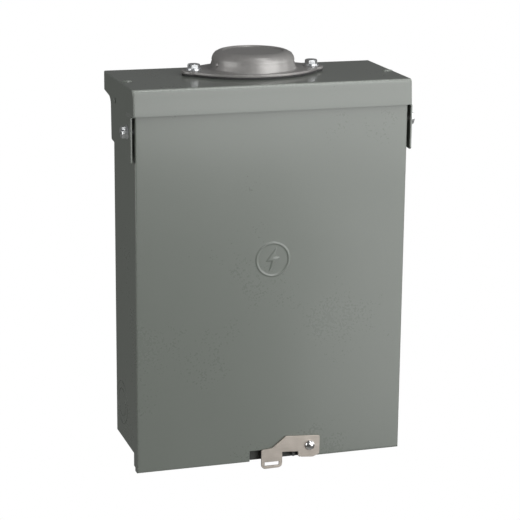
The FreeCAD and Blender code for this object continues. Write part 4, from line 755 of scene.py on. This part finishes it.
# Several closed shapes as one.
def joined(shapes):
    whole = shapes[0]
    for extra in shapes[1:]:
        mesh = bpy.data.meshes.new("joined")
        extra.to_mesh(mesh)
        extra.free()
        whole.from_mesh(mesh)
        bpy.data.meshes.remove(mesh)
    return whole


hubScrew = {"turns": (25, -40), "washerRadius": 5.8, "shank": 1.9, "overlap": 0.2}


def hubScrews():
    low, high = boxOf("hub_screws")
    seatZ = boxOf("hub_washers")[1].z
    y = hubY()
    shapes = []
    for side, turn in zip((-1, 1), hubScrew["turns"]):
        x = side * hub["spacing"] / 2
        shapes.append(hexHead((x, y, seatZ), (0, 0, 1), high.z - seatZ, turn, hubScrew["washerRadius"]))
        shank = bmesh.new()
        barrel(shank, (x, y, low.z), (0, 0, 1), seatZ - low.z + hubScrew["overlap"], hubScrew["shank"],
               segments=24)
        shapes.append(shank)
    return finishPiece("hubScrews", joined(shapes), "hub_screws", sharpAngle=40)


washerBore = 2.2


def hubWashers():
    low, high = boxOf("hub_washers")
    radius, height = (high.x - low.x - hub["spacing"]) / 2, high.z - low.z
    shape = bmesh.new()
    for side in (-1, 1):
        turnedShape(shape, [(washerBore, 0), (radius - 0.3, 0), (radius, 0.3), (radius - 0.2, height),
                            (washerBore, height), (washerBore, 0)],
                    (side * hub["spacing"] / 2, hubY(), low.z), (0, 0, 1), 48)
    return finishPiece("hubWashers", shape, "hub_washers", sharpAngle=40)


pivot = {"rise": 5.0, "turn": 30, "washerRadius": 5.6, "shank": 2.4, "reach": 12, "overlap": 0.3}


# The screws that the cover hangs and turns on, one through each ear.
def coverPivotScrews():
    low, high = boxOf("cover_pivot_screws")
    y, z = (low.y + high.y) / 2, (low.z + high.z) / 2
    shapes = []
    for side in (-1, 1):
        seat = vec(side * (high.x - pivot["rise"]), y, z)
        shapes.append(hexHead(seat, (side, 0, 0), pivot["rise"], pivot["turn"], pivot["washerRadius"]))
        shank = bmesh.new()
        barrel(shank, seat - vec(side * pivot["reach"], 0, 0), (side, 0, 0),
               pivot["reach"] + pivot["overlap"], pivot["shank"], segments=32)
        shapes.append(shank)
    return finishPiece("coverPivotScrews", joined(shapes), "cover_pivot_screws", sharpAngle=40)


latchPin = {"shank": 2.5, "rim": 0.3, "crownFoot": 0.5}


# The latch rivet: a domed head over the latch plate.
def latchRivet():
    low, high = boxOf("latch_rivet")
    plateFront = boxOf("latch_plate")[0].y
    centre = vec((low.x + high.x) / 2, plateFront, (low.z + high.z) / 2)
    rise, radius, depth = plateFront - low.y, (high.x - low.x) / 2, high.y - plateFront
    profile = [(0, -depth), (latchPin["shank"], -depth), (latchPin["shank"], 0.02), (radius - 0.2, 0.02),
               (radius, latchPin["rim"])]
    profile += [(radius * math.cos(a), latchPin["crownFoot"] + (rise - latchPin["crownFoot"]) * math.sin(a))
                for a in [math.radians(t) for t in range(10, 91, 8)]]
    profile += [(0, rise)]
    shape = bmesh.new()
    turnedShape(shape, profile, centre, (0, -1, 0), 48)
    return finishPiece("latchRivet", shape, "latch_rivet", sharpAngle=40,
                       material=finishes["polished_steel"])


rainHood()
hoodLances()
hoodRivets()
frontCover()
hubCap()
hubGasket()
hubScrews()
hubWashers()
coverPivotScrews()
latchRivet()
handMade = {"rain_hood", "front_cover", "hub_closing_cap", "hub_gasket", "hub_screws", "hub_washers",
            "cover_pivot_screws", "latch_rivet", "hood_rivets"}
print("outer pieces made")

softEdge = 0.25


# All the other pieces are the CAD nodes' own meshes with softened edges.
def copyPieces():
    for node in frame["nodes"]:
        if node in handMade:
            continue
        # the keeper gets the dark finish as painted shade for its recess behind the cover's cut-out
        keeperShade = finishes["shadedKeeper"] if node == "cover_keeper" else None
        piece = finishPiece(node + ".finished", copyOf(node), node, material=keeperShade)
        softened(piece, softEdge)


copyPieces()
print("pieces made")
